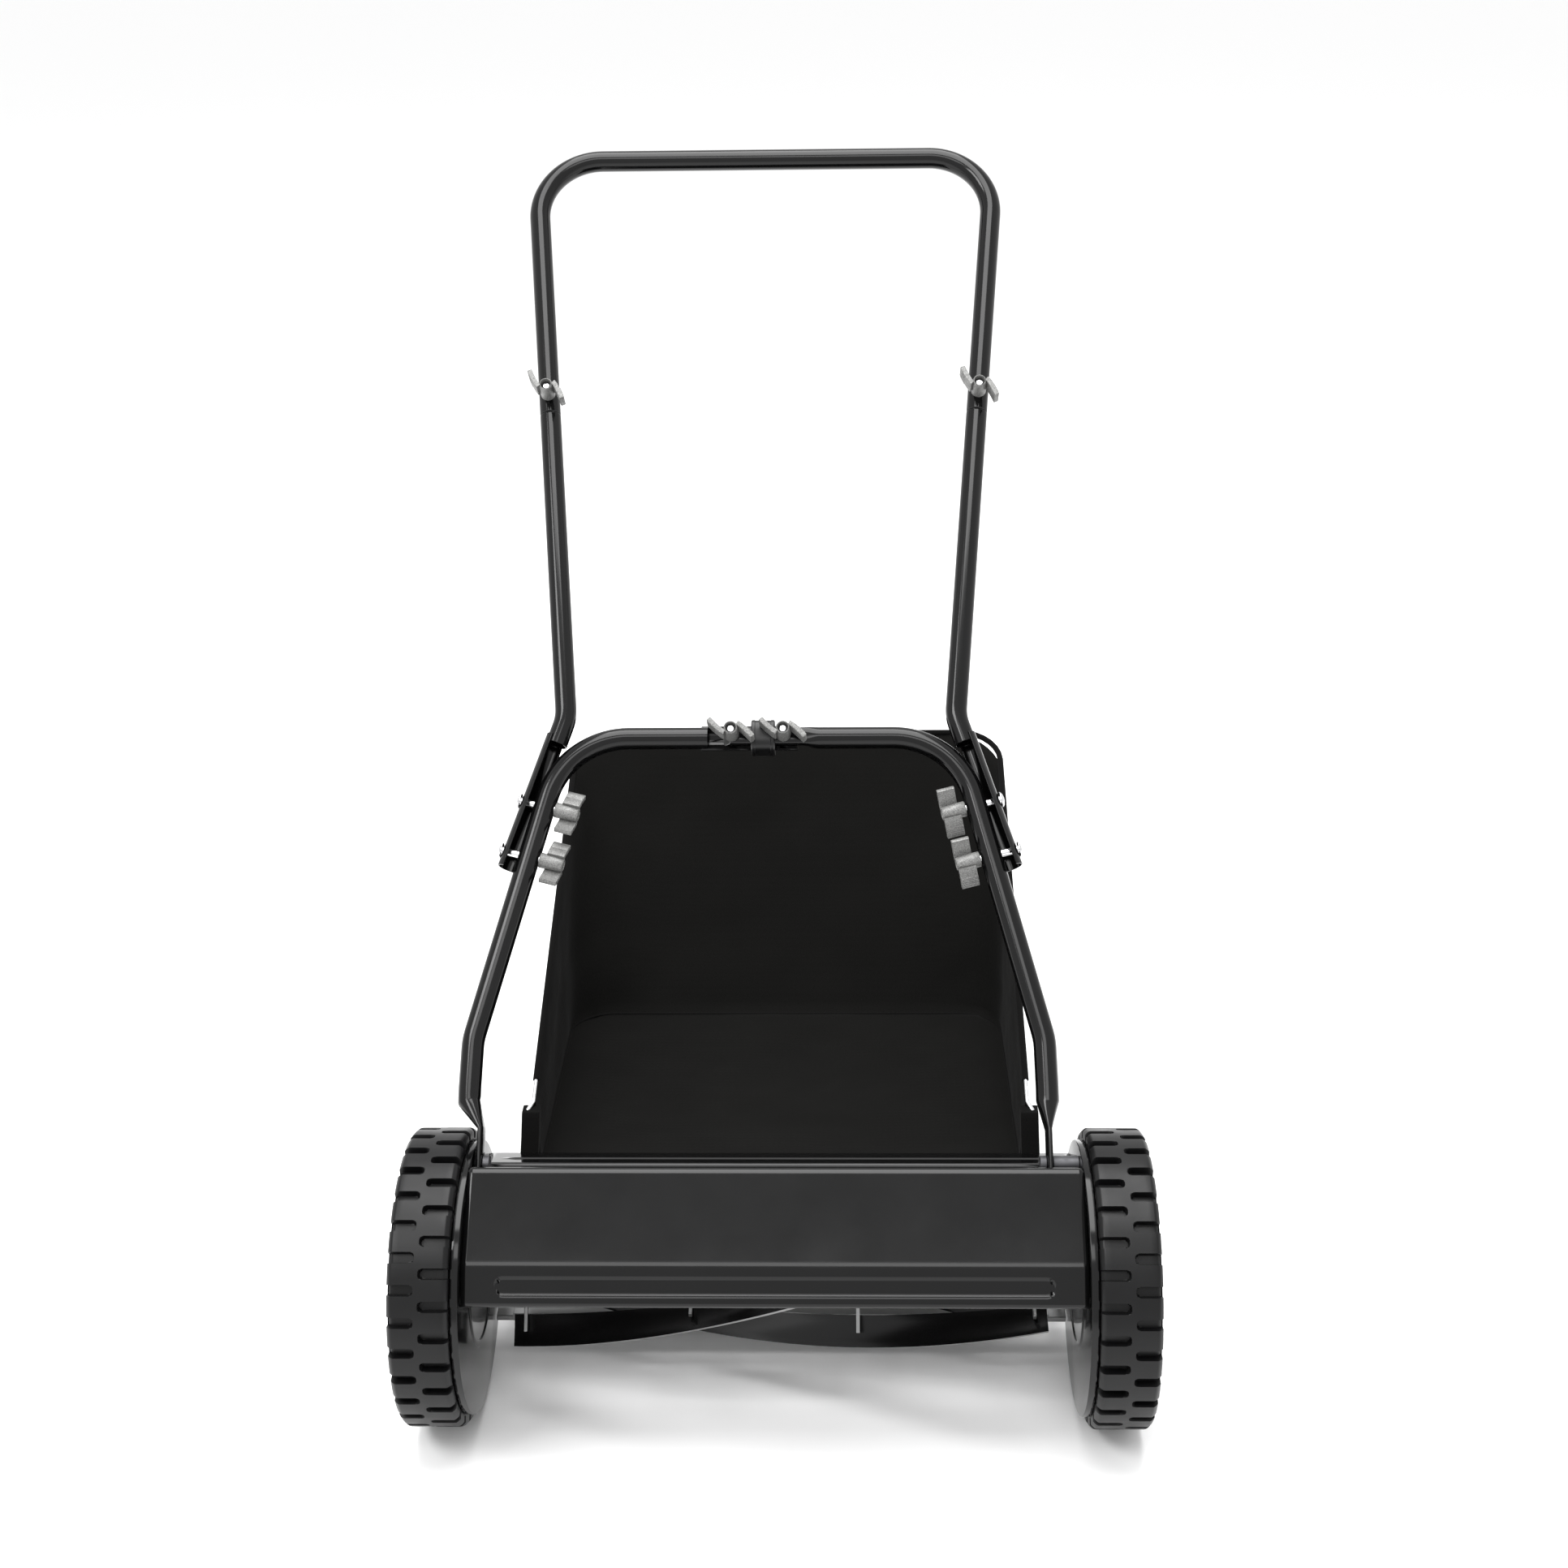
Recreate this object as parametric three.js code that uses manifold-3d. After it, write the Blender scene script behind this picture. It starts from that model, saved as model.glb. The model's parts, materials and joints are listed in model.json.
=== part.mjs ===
// Push reel mower with a rear catcher: side plates, wheels, reel, guard, folding handle and bag.
// Units are millimetres. X runs across the mower, -Y is the front, +Z is up, Z = 0 is the ground.
import * as THREE from 'three';
import { mergeVertices } from 'three/addons/utils/BufferGeometryUtils.js';
import Module from 'manifold-3d';

const wasm = await Module();
wasm.setup();

// ---------------------------------------------------------------- driving dimensions
const RAD = Math.PI / 180;
const GAP = 0.3;
const RUN = 0.06;
const FRAME_SHIFT_Y = -274.2;

const WHEEL_R = 127;
const WHEEL_IN_X = 266;
const WHEEL_OUT_X = 316;
const TREAD_SPLIT_X = 292;
const TREAD_DEPTH = 5;
const TREAD_LUGS = 30;
const LUG_SHARE = 0.64;
const TYRE_IN_R = 112;
const AXLE_R = 8;

const GEAR_MODULE = 3.75;
const RING_TEETH = 28;
const PINION_TEETH = 8;
const TOOTH_REACH = 3.2;
const TOOTH_ROOT = 4;
const HUB_R = 17;
const ROUND = 26;
const SMALL_ROUND = 16;
const GEAR_OFFSET = GEAR_MODULE * (RING_TEETH - PINION_TEETH) / 2;
const GEAR_LINE = -15 * RAD;

const REEL_Y = GEAR_OFFSET * Math.cos(GEAR_LINE);
const REEL_Z = WHEEL_R + GEAR_OFFSET * Math.sin(GEAR_LINE);
const REEL_R = 75;
const REEL_HALF = 233;
const BLADE_COUNT = 5;
const BLADE_INNER_R = 47;
const BLADE_T = 2.4;
const BLADE_PHASE = 232.6 * RAD;
const BLADE_PHASE_X = -222;
const BLADE_TWIST = -0.236 * RAD;
const SPIDER_X = [-222, -75, 70, 222];
const SPIDER_T = 3;
const SHAFT_R = 8;
const SHAFT_END_R = 6;

const PLATE_X = 259;
const PLATE_T = 2;
const PLATE_R = 117;
const PLATE_LIP_X = 265.5;
const BEARING_R = 17;

const GUARD_HALF = 258.5;
const GUARD_T = 2;
const TUBE_R = 10;
const TUBE_WALL = 1.4;
const BEND_STEP = 18 * RAD;
const HANDLE_ANGLE = 49.44 * RAD;
const HANDLE_PIVOT_Y = 19.3;
const HANDLE_PIVOT_Z = 228.1;
const HANDLE_SHIFT_X = -16.6;
const BOLT_R = 3.5;
const NUT_TALL = 22;
const WING_FROM = 8.5;
const NUT_R = 7;

const LOWER_BAR_S = 386.2;
const CLIP_FROM_X = -8.2;
const CLIP_TO_X = 13.4;
const LOWER_TOP_X = 178.4;
const LOWER_BEND_X = 249.8;
const LOWER_BEND_S = 108;
const MIDDLE_BEND_X = 178.3;
const MIDDLE_BEND_S = 406.6;
const MIDDLE_TOP_S = 713.8;
const UPPER_TOP_X = 227.5;
const UPPER_TOP_S = 993.9;
const UPPER_NUT_S = 731;
const CHANNEL_R = 11.5;
const CHANNEL_END_X = 224.3;
const CHANNEL_END_S = 263;
const CHANNEL_BOLT_S = [321, 274];

const ROD_Y = 104;
const ROD_Z = 176.6;
const ROD_R = 2;
const BAG_HALF = 226;
const BAG_T = 3;
const WIRE_R = 2;

const ROLLER_Y = 122;
const ROLLER_R = 20;
const ROLLER_HALF = 215;
const ROLLER_ROD_R = 4;
const ROLLER_PIVOT_Y = 80;
const ROLLER_PIVOT_Z = 75;

// ---------------------------------------------------------------- materials
const LOOKS = {
  blackPaint: { color: 0x1b1b1c, roughness: 0.28, metalness: 0.0 },
  greySteel: { color: 0x9a9c9c, roughness: 0.4, metalness: 0.7 },
  bladeSteel: { color: 0x1f1f20, roughness: 0.35, metalness: 0.2 },
  chrome: { color: 0xd8d9da, roughness: 0.15, metalness: 1.0 },
  castNut: { color: 0xa9aaa8, roughness: 0.55, metalness: 0.3 },
  rubber: { color: 0x161616, roughness: 0.7, metalness: 0.0 },
  blackPlastic: { color: 0x18181a, roughness: 0.5, metalness: 0.0 },
  gearIron: { color: 0x4a4b4d, roughness: 0.5, metalness: 0.8 },
  cloth: { color: 0x161512, roughness: 0.9, metalness: 0.0 },
};

const mower = new THREE.Group();
mower.name = 'reel_mower';

function addPart(name, look, geometry) {
  const placed = plain(geometry);
  placed.translate(0, FRAME_SHIFT_Y, 0);
  placed.computeVertexNormals();
  const mesh = new THREE.Mesh(placed, new THREE.MeshStandardMaterial(LOOKS[look]));
  mesh.name = name;
  mower.add(mesh);
}

// ---------------------------------------------------------------- geometry helpers
function plain(geometry) {
  const bare = new THREE.BufferGeometry();
  bare.setAttribute('position', geometry.getAttribute('position').clone());
  if (geometry.index) bare.setIndex(geometry.index.clone());
  return mergeVertices(bare, 1e-4);
}

function toManifold(geometry) {
  const bare = plain(geometry);
  return new wasm.Manifold(new wasm.Mesh({
    numProp: 3,
    vertProperties: new Float32Array(bare.getAttribute('position').array),
    triVerts: new Uint32Array(bare.index.array),
  }));
}

function fromManifold(solid) {
  const mesh = solid.getMesh();
  const geometry = new THREE.BufferGeometry();
  geometry.setAttribute('position', new THREE.BufferAttribute(new Float32Array(mesh.vertProperties), 3));
  geometry.setIndex(new THREE.BufferAttribute(new Uint32Array(mesh.triVerts), 1));
  return geometry;
}

function join(...geometries) {
  return fromManifold(geometries.map(toManifold).reduce((total, next) => total.add(next)));
}

function cut(base, ...tools) {
  return fromManifold(tools.map(toManifold).reduce((total, next) => total.subtract(next), toManifold(base)));
}

function mirrorX(geometry) {
  const flipped = plain(geometry);
  flipped.scale(-1, 1, 1);
  const order = flipped.index.array;
  for (let i = 0; i < order.length; i += 3) {
    [order[i], order[i + 1]] = [order[i + 1], order[i]];
  }
  return flipped;
}

function onSide(side, geometry) {
  return side < 0 ? mirrorX(geometry) : geometry;
}

// Extrudes a YZ outline along X from x0 to x1.
function slab(outline, x0, x1, holes = []) {
  const shape = new THREE.Shape(outline.map(([y, z]) => new THREE.Vector2(y, z)));
  shape.holes = holes.map((hole) => new THREE.Path(hole.map(([y, z]) => new THREE.Vector2(y, z))));
  const body = new THREE.ExtrudeGeometry(shape, { depth: x1 - x0, bevelEnabled: false });
  body.applyMatrix4(new THREE.Matrix4().makeBasis(
    new THREE.Vector3(0, 1, 0), new THREE.Vector3(0, 0, 1), new THREE.Vector3(1, 0, 0)));
  body.translate(x0, 0, 0);
  return body;
}

function circle(y, z, radius, count, phase = 0) {
  return Array.from({ length: count }, (_, i) => {
    const turn = phase + i * 2 * Math.PI / count;
    return [y + radius * Math.cos(turn), z + radius * Math.sin(turn)];
  });
}

// Corner radius of a many-sided bore whose flats clear a pin that turns in it.
function boreR(pinR, count) {
  return pinR / Math.cos(Math.PI / count) + RUN;
}

function pinX(y, z, radius, x0, x1, count = SMALL_ROUND) {
  return slab(circle(y, z, radius, count), x0, x1);
}

function box(x0, x1, y0, y1, z0, z1) {
  const body = new THREE.BoxGeometry(x1 - x0, y1 - y0, z1 - z0);
  body.translate((x0 + x1) / 2, (y0 + y1) / 2, (z0 + z1) / 2);
  return body;
}

// Turns a profile of [radius, x] points about the X axis through (y, z).
function turned(profile, y, z, count, phase = 0) {
  const points = profile.map(([radius, x]) => new THREE.Vector2(radius, x));
  const body = new THREE.LatheGeometry(points, count, phase, 2 * Math.PI);
  body.applyMatrix4(new THREE.Matrix4().makeBasis(
    new THREE.Vector3(0, 0, 1), new THREE.Vector3(1, 0, 0), new THREE.Vector3(0, 1, 0)));
  body.translate(0, y, z);
  return outward(body);
}

function outward(geometry) {
  const body = plain(geometry);
  if (signedVolume(body) > 0) return body;
  const order = body.index.array;
  for (let i = 0; i < order.length; i += 3) {
    [order[i], order[i + 1]] = [order[i + 1], order[i]];
  }
  return body;
}

function signedVolume(geometry) {
  const position = geometry.getAttribute('position');
  const order = geometry.index.array;
  const [a, b, c] = [new THREE.Vector3(), new THREE.Vector3(), new THREE.Vector3()];
  let volume = 0;
  for (let i = 0; i < order.length; i += 3) {
    a.fromBufferAttribute(position, order[i]);
    b.fromBufferAttribute(position, order[i + 1]);
    c.fromBufferAttribute(position, order[i + 2]);
    volume += a.dot(b.cross(c)) / 6;
  }
  return volume;
}

// Skins matching rings of points into one closed body; hollow rings start at holeFrom.
function loft(rings, holes = [], holeFrom = 0) {
  const points = [];
  const faces = [];
  const count = rings[0].length;
  const outerAt = rings.map((ring) => pushRing(points, ring));
  const innerAt = holes.map((ring) => pushRing(points, ring));
  skin(faces, outerAt, count, false);
  skin(faces, innerAt, count, true);
  const last = outerAt[outerAt.length - 1];
  if (holes.length === 0) {
    capRing(faces, outerAt[0], count, true);
    capRing(faces, last, count, false);
  } else {
    const innerLast = innerAt[innerAt.length - 1];
    bridge(faces, last, innerLast, count, false);
    if (holeFrom === 0) bridge(faces, outerAt[0], innerAt[0], count, true);
    else {
      capRing(faces, outerAt[0], count, true);
      capRing(faces, innerAt[0], count, false);
    }
  }
  const body = new THREE.BufferGeometry();
  body.setAttribute('position', new THREE.Float32BufferAttribute(points.flat(), 3));
  body.setIndex(faces.flat());
  return outward(body);
}

function pushRing(points, ring) {
  const start = points.length;
  ring.forEach((p) => points.push([p.x, p.y, p.z]));
  return start;
}

function skin(faces, starts, count, flip) {
  for (let k = 0; k + 1 < starts.length; k += 1) bridge(faces, starts[k], starts[k + 1], count, flip);
}

function bridge(faces, startA, startB, count, flip) {
  for (let i = 0; i < count; i += 1) {
    const j = (i + 1) % count;
    const quad = [startA + i, startA + j, startB + j, startB + i];
    if (flip) quad.reverse();
    faces.push([quad[0], quad[1], quad[2]], [quad[0], quad[2], quad[3]]);
  }
}

function capRing(faces, start, count, flip) {
  for (let i = 1; i + 1 < count; i += 1) {
    faces.push(flip ? [start, start + i + 1, start + i] : [start, start + i, start + i + 1]);
  }
}

// ---------------------------------------------------------------- handle plane helpers
const ALONG = new THREE.Vector3(0, Math.cos(HANDLE_ANGLE), Math.sin(HANDLE_ANGLE));
const ACROSS = new THREE.Vector3(1, 0, 0);
const RAISED = new THREE.Vector3(0, -Math.sin(HANDLE_ANGLE), Math.cos(HANDLE_ANGLE));

function onHandle(x, s, h = 0) {
  return new THREE.Vector3(x + HANDLE_SHIFT_X, HANDLE_PIVOT_Y, HANDLE_PIVOT_Z)
    .addScaledVector(ALONG, s).addScaledVector(RAISED, h);
}

// Rounds each inner corner of a polyline [x, s] with the given bend radius.
function bentPath(corners, radii) {
  const path = [corners[0]];
  for (let i = 1; i + 1 < corners.length; i += 1) {
    const here = new THREE.Vector2(...corners[i]);
    const back = new THREE.Vector2(...corners[i - 1]).sub(here).normalize();
    const ahead = new THREE.Vector2(...corners[i + 1]).sub(here).normalize();
    const half = Math.acos(back.dot(ahead)) / 2;
    const trim = radii[i - 1] / Math.tan(half);
    const reach = radii[i - 1] / Math.sin(half);
    const centre = back.clone().add(ahead).normalize().multiplyScalar(reach).add(here);
    const from = here.clone().addScaledVector(back, trim).sub(centre);
    const to = here.clone().addScaledVector(ahead, trim).sub(centre);
    const sweep = Math.atan2(from.cross(to), from.dot(to));
    const steps = Math.max(2, Math.round(Math.abs(sweep) / BEND_STEP));
    for (let k = 0; k <= steps; k += 1) {
      const spoke = from.clone().rotateAround(new THREE.Vector2(), sweep * k / steps).add(centre);
      path.push([spoke.x, spoke.y]);
    }
  }
  path.push(corners[corners.length - 1]);
  return path;
}

function pathSide(path, i) {
  const from = new THREE.Vector2(...path[Math.max(i - 1, 0)]);
  const here = new THREE.Vector2(...path[i]);
  const to = new THREE.Vector2(...path[Math.min(i + 1, path.length - 1)]);
  const into = i > 0 ? here.clone().sub(from).normalize() : to.clone().sub(here).normalize();
  const out = i + 1 < path.length ? to.clone().sub(here).normalize() : into;
  const tangent = into.add(out).normalize();
  return new THREE.Vector2(-tangent.y, tangent.x);
}

// Sweeps a section (wide, tall, lift at each station) along a handle-plane path.
function sweepHandle(path, sizeAt, wall = TUBE_WALL, holeFrom = 0, count = 10) {
  const rings = path.map((_, i) => sectionRing(path, i, sizeAt(i), 0, count));
  const holes = path.slice(holeFrom).map((_, k) =>
    sectionRing(path, k + holeFrom, sizeAt(k + holeFrom), wall, count));
  return loft(rings, wall > 0 ? holes : [], holeFrom);
}

function sectionRing(path, i, [wide, tall, lift = 0], wall, count) {
  const side = pathSide(path, i);
  return Array.from({ length: count }, (_, k) => {
    const turn = (k + 0.5) * 2 * Math.PI / count;
    const across = (wide - wall) * Math.cos(turn);
    const up = (tall - wall) * Math.sin(turn) + lift;
    return onHandle(path[i][0] + side.x * across, path[i][1] + side.y * across, up);
  });
}

// Places a body drawn about +Z so that +Z follows axis and +X follows facing.
function orient(geometry, origin, axis, facing) {
  const z = axis.clone().normalize();
  const x = facing.clone().addScaledVector(z, -facing.dot(z)).normalize();
  const y = z.clone().cross(x);
  const body = plain(geometry);
  body.applyMatrix4(new THREE.Matrix4().makeBasis(x, y, z).setPosition(origin));
  return body;
}

function pinZ(radius, z0, z1, count = 12) {
  const body = new THREE.CylinderGeometry(radius, radius, z1 - z0, count);
  body.rotateX(Math.PI / 2);
  body.translate(0, 0, (z0 + z1) / 2);
  return body;
}

function handlePin(x, s, axis, radius, z0, z1) {
  return orient(pinZ(radius, z0, z1, 8), onHandle(x, s), axis, ALONG);
}

// ---------------------------------------------------------------- wheels
function treadOutline(phase, cornerR) {
  const pitch = 2 * Math.PI / TREAD_LUGS;
  const half = pitch * LUG_SHARE / 2;
  const outline = [];
  for (let i = 0; i < TREAD_LUGS; i += 1) {
    const mid = -Math.PI / 2 + phase * pitch + i * pitch;
    for (const [turn, radius] of [
      [mid - half, cornerR], [mid + half, cornerR], [mid + pitch / 2, WHEEL_R - TREAD_DEPTH],
    ]) {
      outline.push([radius * Math.cos(turn), WHEEL_R + radius * Math.sin(turn)]);
    }
  }
  return outline;
}

function makeTyre() {
  const half = Math.PI / TREAD_LUGS;
  const flatCorner = WHEEL_R / Math.cos(half * LUG_SHARE);
  const offsetCorner = WHEEL_R / Math.cos(half * (1 - LUG_SHARE));
  const hole = circle(0, WHEEL_R, TYRE_IN_R, ROUND);
  const overlap = 0.5;
  return join(
    slab(treadOutline(0, flatCorner), TREAD_SPLIT_X - overlap, WHEEL_OUT_X, [hole]),
    slab(treadOutline(0.5, offsetCorner), WHEEL_IN_X, TREAD_SPLIT_X + overlap, [hole]));
}

function toothOutline(y, z, teeth, tipR, rootR, phase) {
  const pitch = 2 * Math.PI / teeth;
  const outline = [];
  for (let i = 0; i < teeth; i += 1) {
    const mid = phase + i * pitch;
    for (const [turn, radius] of [
      [-0.24, rootR], [-0.12, tipR], [0.12, tipR], [0.24, rootR],
    ]) {
      const angle = mid + turn * pitch;
      outline.push([y + radius * Math.cos(angle), z + radius * Math.sin(angle)]);
    }
  }
  return outline;
}

function makeWheel() {
  const pitchR = GEAR_MODULE * RING_TEETH / 2;
  const phase = GEAR_LINE + Math.PI / RING_TEETH;
  const teeth = toothOutline(0, WHEEL_R, RING_TEETH, pitchR - TOOTH_REACH, pitchR + TOOTH_ROOT, phase);
  const gear = slab(circle(0, WHEEL_R, 61, ROUND), 272, 297.5, [teeth]);
  const rimR = TYRE_IN_R - GAP;
  const axleBoreR = boreR(AXLE_R, ROUND);
  const body = turned([
    [axleBoreR, 268], [HUB_R, 268], [HUB_R, 297], [106, 297], [106, 268], [rimR, 268],
    [rimR, 314], [106, 314], [106, 301], [HUB_R, 301], [HUB_R, 306], [axleBoreR, 306], [axleBoreR, 268],
  ], 0, WHEEL_R, ROUND);
  return join(body, gear);
}

function makeHubCap() {
  return turned([
    [30, 301.3], [30, 306], [22, 312], [0, 314], [0, 311.5], [26, 308], [26, 301.3], [30, 301.3],
  ], 0, WHEEL_R, 20);
}

// ---------------------------------------------------------------- reel and its drive
function bladeAngle(x) {
  return BLADE_PHASE + BLADE_TWIST * (x - BLADE_PHASE_X);
}

function makeBlade(index) {
  const stations = 20;
  const rings = [];
  for (let i = 0; i <= stations; i += 1) {
    const x = -REEL_HALF + 2 * REEL_HALF * i / stations;
    const angle = bladeAngle(x) + index * 2 * Math.PI / BLADE_COUNT;
    const out = new THREE.Vector3(0, Math.cos(angle), Math.sin(angle));
    const side = new THREE.Vector3(0, -Math.sin(angle), Math.cos(angle));
    const corners = [
      [BLADE_INNER_R, -1], [REEL_R - 0.3, -1], [REEL_R - 0.3, 1], [BLADE_INNER_R, 1],
    ];
    rings.push(corners.map(([radius, face]) => new THREE.Vector3(x, REEL_Y, REEL_Z)
      .addScaledVector(out, radius).addScaledVector(side, face * BLADE_T / 2)));
  }
  return loft(rings);
}

function makeSpider(x) {
  const hubR = 14;
  const armTop = 62;
  const [faceNear, faceFar] = [-2.6, -9.5];
  const outline = [];
  for (let i = 0; i < BLADE_COUNT; i += 1) {
    const angle = bladeAngle(x) + i * 2 * Math.PI / BLADE_COUNT;
    const armCorners = [[hubR, faceFar], [armTop, faceFar + 1.5], [armTop, faceNear], [hubR, faceNear]];
    for (const [radius, side] of armCorners) {
      outline.push([
        REEL_Y + radius * Math.cos(angle) - side * Math.sin(angle),
        REEL_Z + radius * Math.sin(angle) + side * Math.cos(angle),
      ]);
    }
  }
  const bore = circle(REEL_Y, REEL_Z, SHAFT_R + GAP, 16);
  return slab(outline, x - SPIDER_T / 2, x + SPIDER_T / 2, [bore]);
}

const SHAFT_TIP_X = 288;
const SLOT_FROM_X = 272;
const SLOT_HALF = 1.8;

function makeShaft() {
  const shoulder = 250;
  const body = turned([
    [0, -SHAFT_TIP_X], [SHAFT_END_R, -SHAFT_TIP_X], [SHAFT_END_R, -shoulder], [SHAFT_R, -shoulder],
    [SHAFT_R, shoulder], [SHAFT_END_R, shoulder], [SHAFT_END_R, SHAFT_TIP_X], [0, SHAFT_TIP_X],
  ], REEL_Y, REEL_Z, 16);
  const slots = [-1, 1].map((side) => onSide(side, box(SLOT_FROM_X, SHAFT_TIP_X + 1,
    REEL_Y - SLOT_HALF, REEL_Y + SLOT_HALF, REEL_Z, REEL_Z + SHAFT_END_R + 1)));
  return cut(body, ...slots);
}

function makePawl() {
  return box(SLOT_FROM_X + GAP, SHAFT_TIP_X - 1, REEL_Y - SLOT_HALF + GAP, REEL_Y + SLOT_HALF - GAP,
    REEL_Z + GAP, REEL_Z + SHAFT_END_R - 0.6);
}

function makePinion() {
  const pitchR = GEAR_MODULE * PINION_TEETH / 2;
  const tipR = pitchR + TOOTH_REACH;
  const rootR = pitchR - TOOTH_ROOT;
  const teeth = toothOutline(REEL_Y, REEL_Z, PINION_TEETH, tipR, rootR, GEAR_LINE);
  return slab(teeth, 272, 286, [circle(REEL_Y, REEL_Z, boreR(SHAFT_END_R, SMALL_ROUND), SMALL_ROUND)]);
}

function makeBearing() {
  return turned([
    [boreR(SHAFT_END_R, SMALL_ROUND), 252], [20, 252], [20, PLATE_X - GAP], [BEARING_R, PLATE_X - GAP],
    [BEARING_R, 265], [boreR(SHAFT_END_R, SMALL_ROUND), 265],
    [boreR(SHAFT_END_R, SMALL_ROUND), 252],
  ], REEL_Y, REEL_Z, 16);
}

// ---------------------------------------------------------------- frame
const PIVOT_R = 5;

function makeSidePlate() {
  const plateOut = PLATE_X + PLATE_T;
  const disc = turned([
    [0, PLATE_X], [PLATE_R, PLATE_X], [PLATE_R, PLATE_LIP_X], [PLATE_R - 2, PLATE_LIP_X],
    [PLATE_R - 2, plateOut], [16, plateOut], [16, 266], [AXLE_R, 266], [AXLE_R, 308], [0, 308],
  ], 0, WHEEL_R, ROUND);
  const lug = box(237, PLATE_X + 1, ROD_Y - 6, ROD_Y + 6, ROD_Z - 8, ROD_Z + 6);
  return cut(join(disc, lug),
    pinX(REEL_Y, REEL_Z, BEARING_R + GAP, 250, 270),
    pinX(ROLLER_PIVOT_Y, ROLLER_PIVOT_Z, boreR(PIVOT_R, SMALL_ROUND), 250, 270),
    pinX(HANDLE_PIVOT_Y, HANDLE_PIVOT_Z, PIVOT_R + GAP, 250, 270),
    pinX(ROD_Y, ROD_Z, ROD_R + GAP, 230, 250, 10));
}

// Thickens an open YZ profile by offsetting it to one side.
function sheetOutline(profile, thickness) {
  const back = profile.map((_, i) => {
    const side = pathSide(profile, i);
    const into = i > 0 ? segmentNormal(profile, i - 1) : segmentNormal(profile, i);
    const stretch = thickness / side.dot(into);
    return [profile[i][0] - side.x * stretch, profile[i][1] - side.y * stretch];
  });
  return [...profile, ...back.reverse()];
}

function segmentNormal(profile, i) {
  const along = new THREE.Vector2(...profile[i + 1]).sub(new THREE.Vector2(...profile[i])).normalize();
  return new THREE.Vector2(-along.y, along.x);
}

const GUARD_PROFILE = [[-6, 238], [-17, 246.5], [-80, 192.4], [-95, 166], [-90, 162]];

function makeGuard() {
  const sheet = slab(sheetOutline(GUARD_PROFILE, -GUARD_T), -GUARD_HALF, GUARD_HALF);
  const tab = slab([[-16, 243.5], [-77, 191], [-90, 168], [-70, 164], [-50, 182], [-4, 222]],
    GUARD_HALF - 2, GUARD_HALF);
  const bead = slab([[-83.1, 183.1], [-86.6, 181.9], [-91.2, 173.9], [-90.8, 170.1]], -228, 228);
  return join(sheet, tab, mirrorX(tab), bead);
}

function makeTiePlate() {
  return slab(sheetOutline([[57, 196], [60, 201], [96, 188.3]], 1.6), -PLATE_X + GAP, PLATE_X - GAP);
}

function makeBedKnifeBar() {
  const section = [[57, 36], [74, 36], [84, 28], [86, 30], [77, 41.3], [57, 41.3]];
  return slab(section, -PLATE_X + GAP, PLATE_X - GAP);
}

function makeBedKnifeBlade() {
  return slab([[55.8, 41.6], [76, 41.6], [76, 44.1], [55.8, 44.6]], -243, 243);
}

function makePivotBolt(footIn, footOut) {
  const nutOut = footIn - GAP;
  return turned([
    [0, nutOut - 5.5], [7.5, nutOut - 5.5], [7.5, nutOut], [PIVOT_R, nutOut], [PIVOT_R, footOut + GAP],
    [7.5, footOut + GAP], [7.5, PLATE_X - GAP], [PIVOT_R, PLATE_X - GAP], [PIVOT_R, PLATE_X + PLATE_T + GAP],
    [7.5, PLATE_X + PLATE_T + GAP], [7.5, 264.2], [0, 264.2],
  ], HANDLE_PIVOT_Y, HANDLE_PIVOT_Z, 12);
}

// ---------------------------------------------------------------- rear roller
function makeRollerBracket() {
  const [x0, x1] = [252.5, 256.5];
  const reach = new THREE.Vector2(ROLLER_Y - ROLLER_PIVOT_Y, ROLLER_R - ROLLER_PIVOT_Z).normalize();
  const side = new THREE.Vector2(-reach.y, reach.x).multiplyScalar(9);
  const arm = slab([
    [ROLLER_PIVOT_Y + side.x, ROLLER_PIVOT_Z + side.y], [ROLLER_PIVOT_Y - side.x, ROLLER_PIVOT_Z - side.y],
    [ROLLER_Y - side.x, ROLLER_R - side.y], [ROLLER_Y + side.x, ROLLER_R + side.y],
  ].reverse(), x0, x1);
  const body = join(arm, pinX(ROLLER_PIVOT_Y, ROLLER_PIVOT_Z, 9, x0, x1), pinX(ROLLER_Y, ROLLER_R, 9, x0, x1),
    pinX(ROLLER_PIVOT_Y, ROLLER_PIVOT_Z, PIVOT_R, x1 - 1, 263.5));
  return cut(body, pinX(ROLLER_Y, ROLLER_R, ROLLER_ROD_R + GAP, 250, 260));
}

function makeRoller() {
  const count = 24;
  const flat = Math.cos(Math.PI / count);
  const bore = boreR(ROLLER_ROD_R, count);
  const outer = ROLLER_R / flat;
  return turned([
    [bore, -ROLLER_HALF], [outer, -ROLLER_HALF], [outer, ROLLER_HALF], [bore, ROLLER_HALF],
    [bore, ROLLER_HALF - 8], [15, ROLLER_HALF - 8], [15, 8 - ROLLER_HALF], [bore, 8 - ROLLER_HALF],
    [bore, -ROLLER_HALF],
  ], ROLLER_Y, ROLLER_R, count, Math.PI / count);
}

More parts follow.
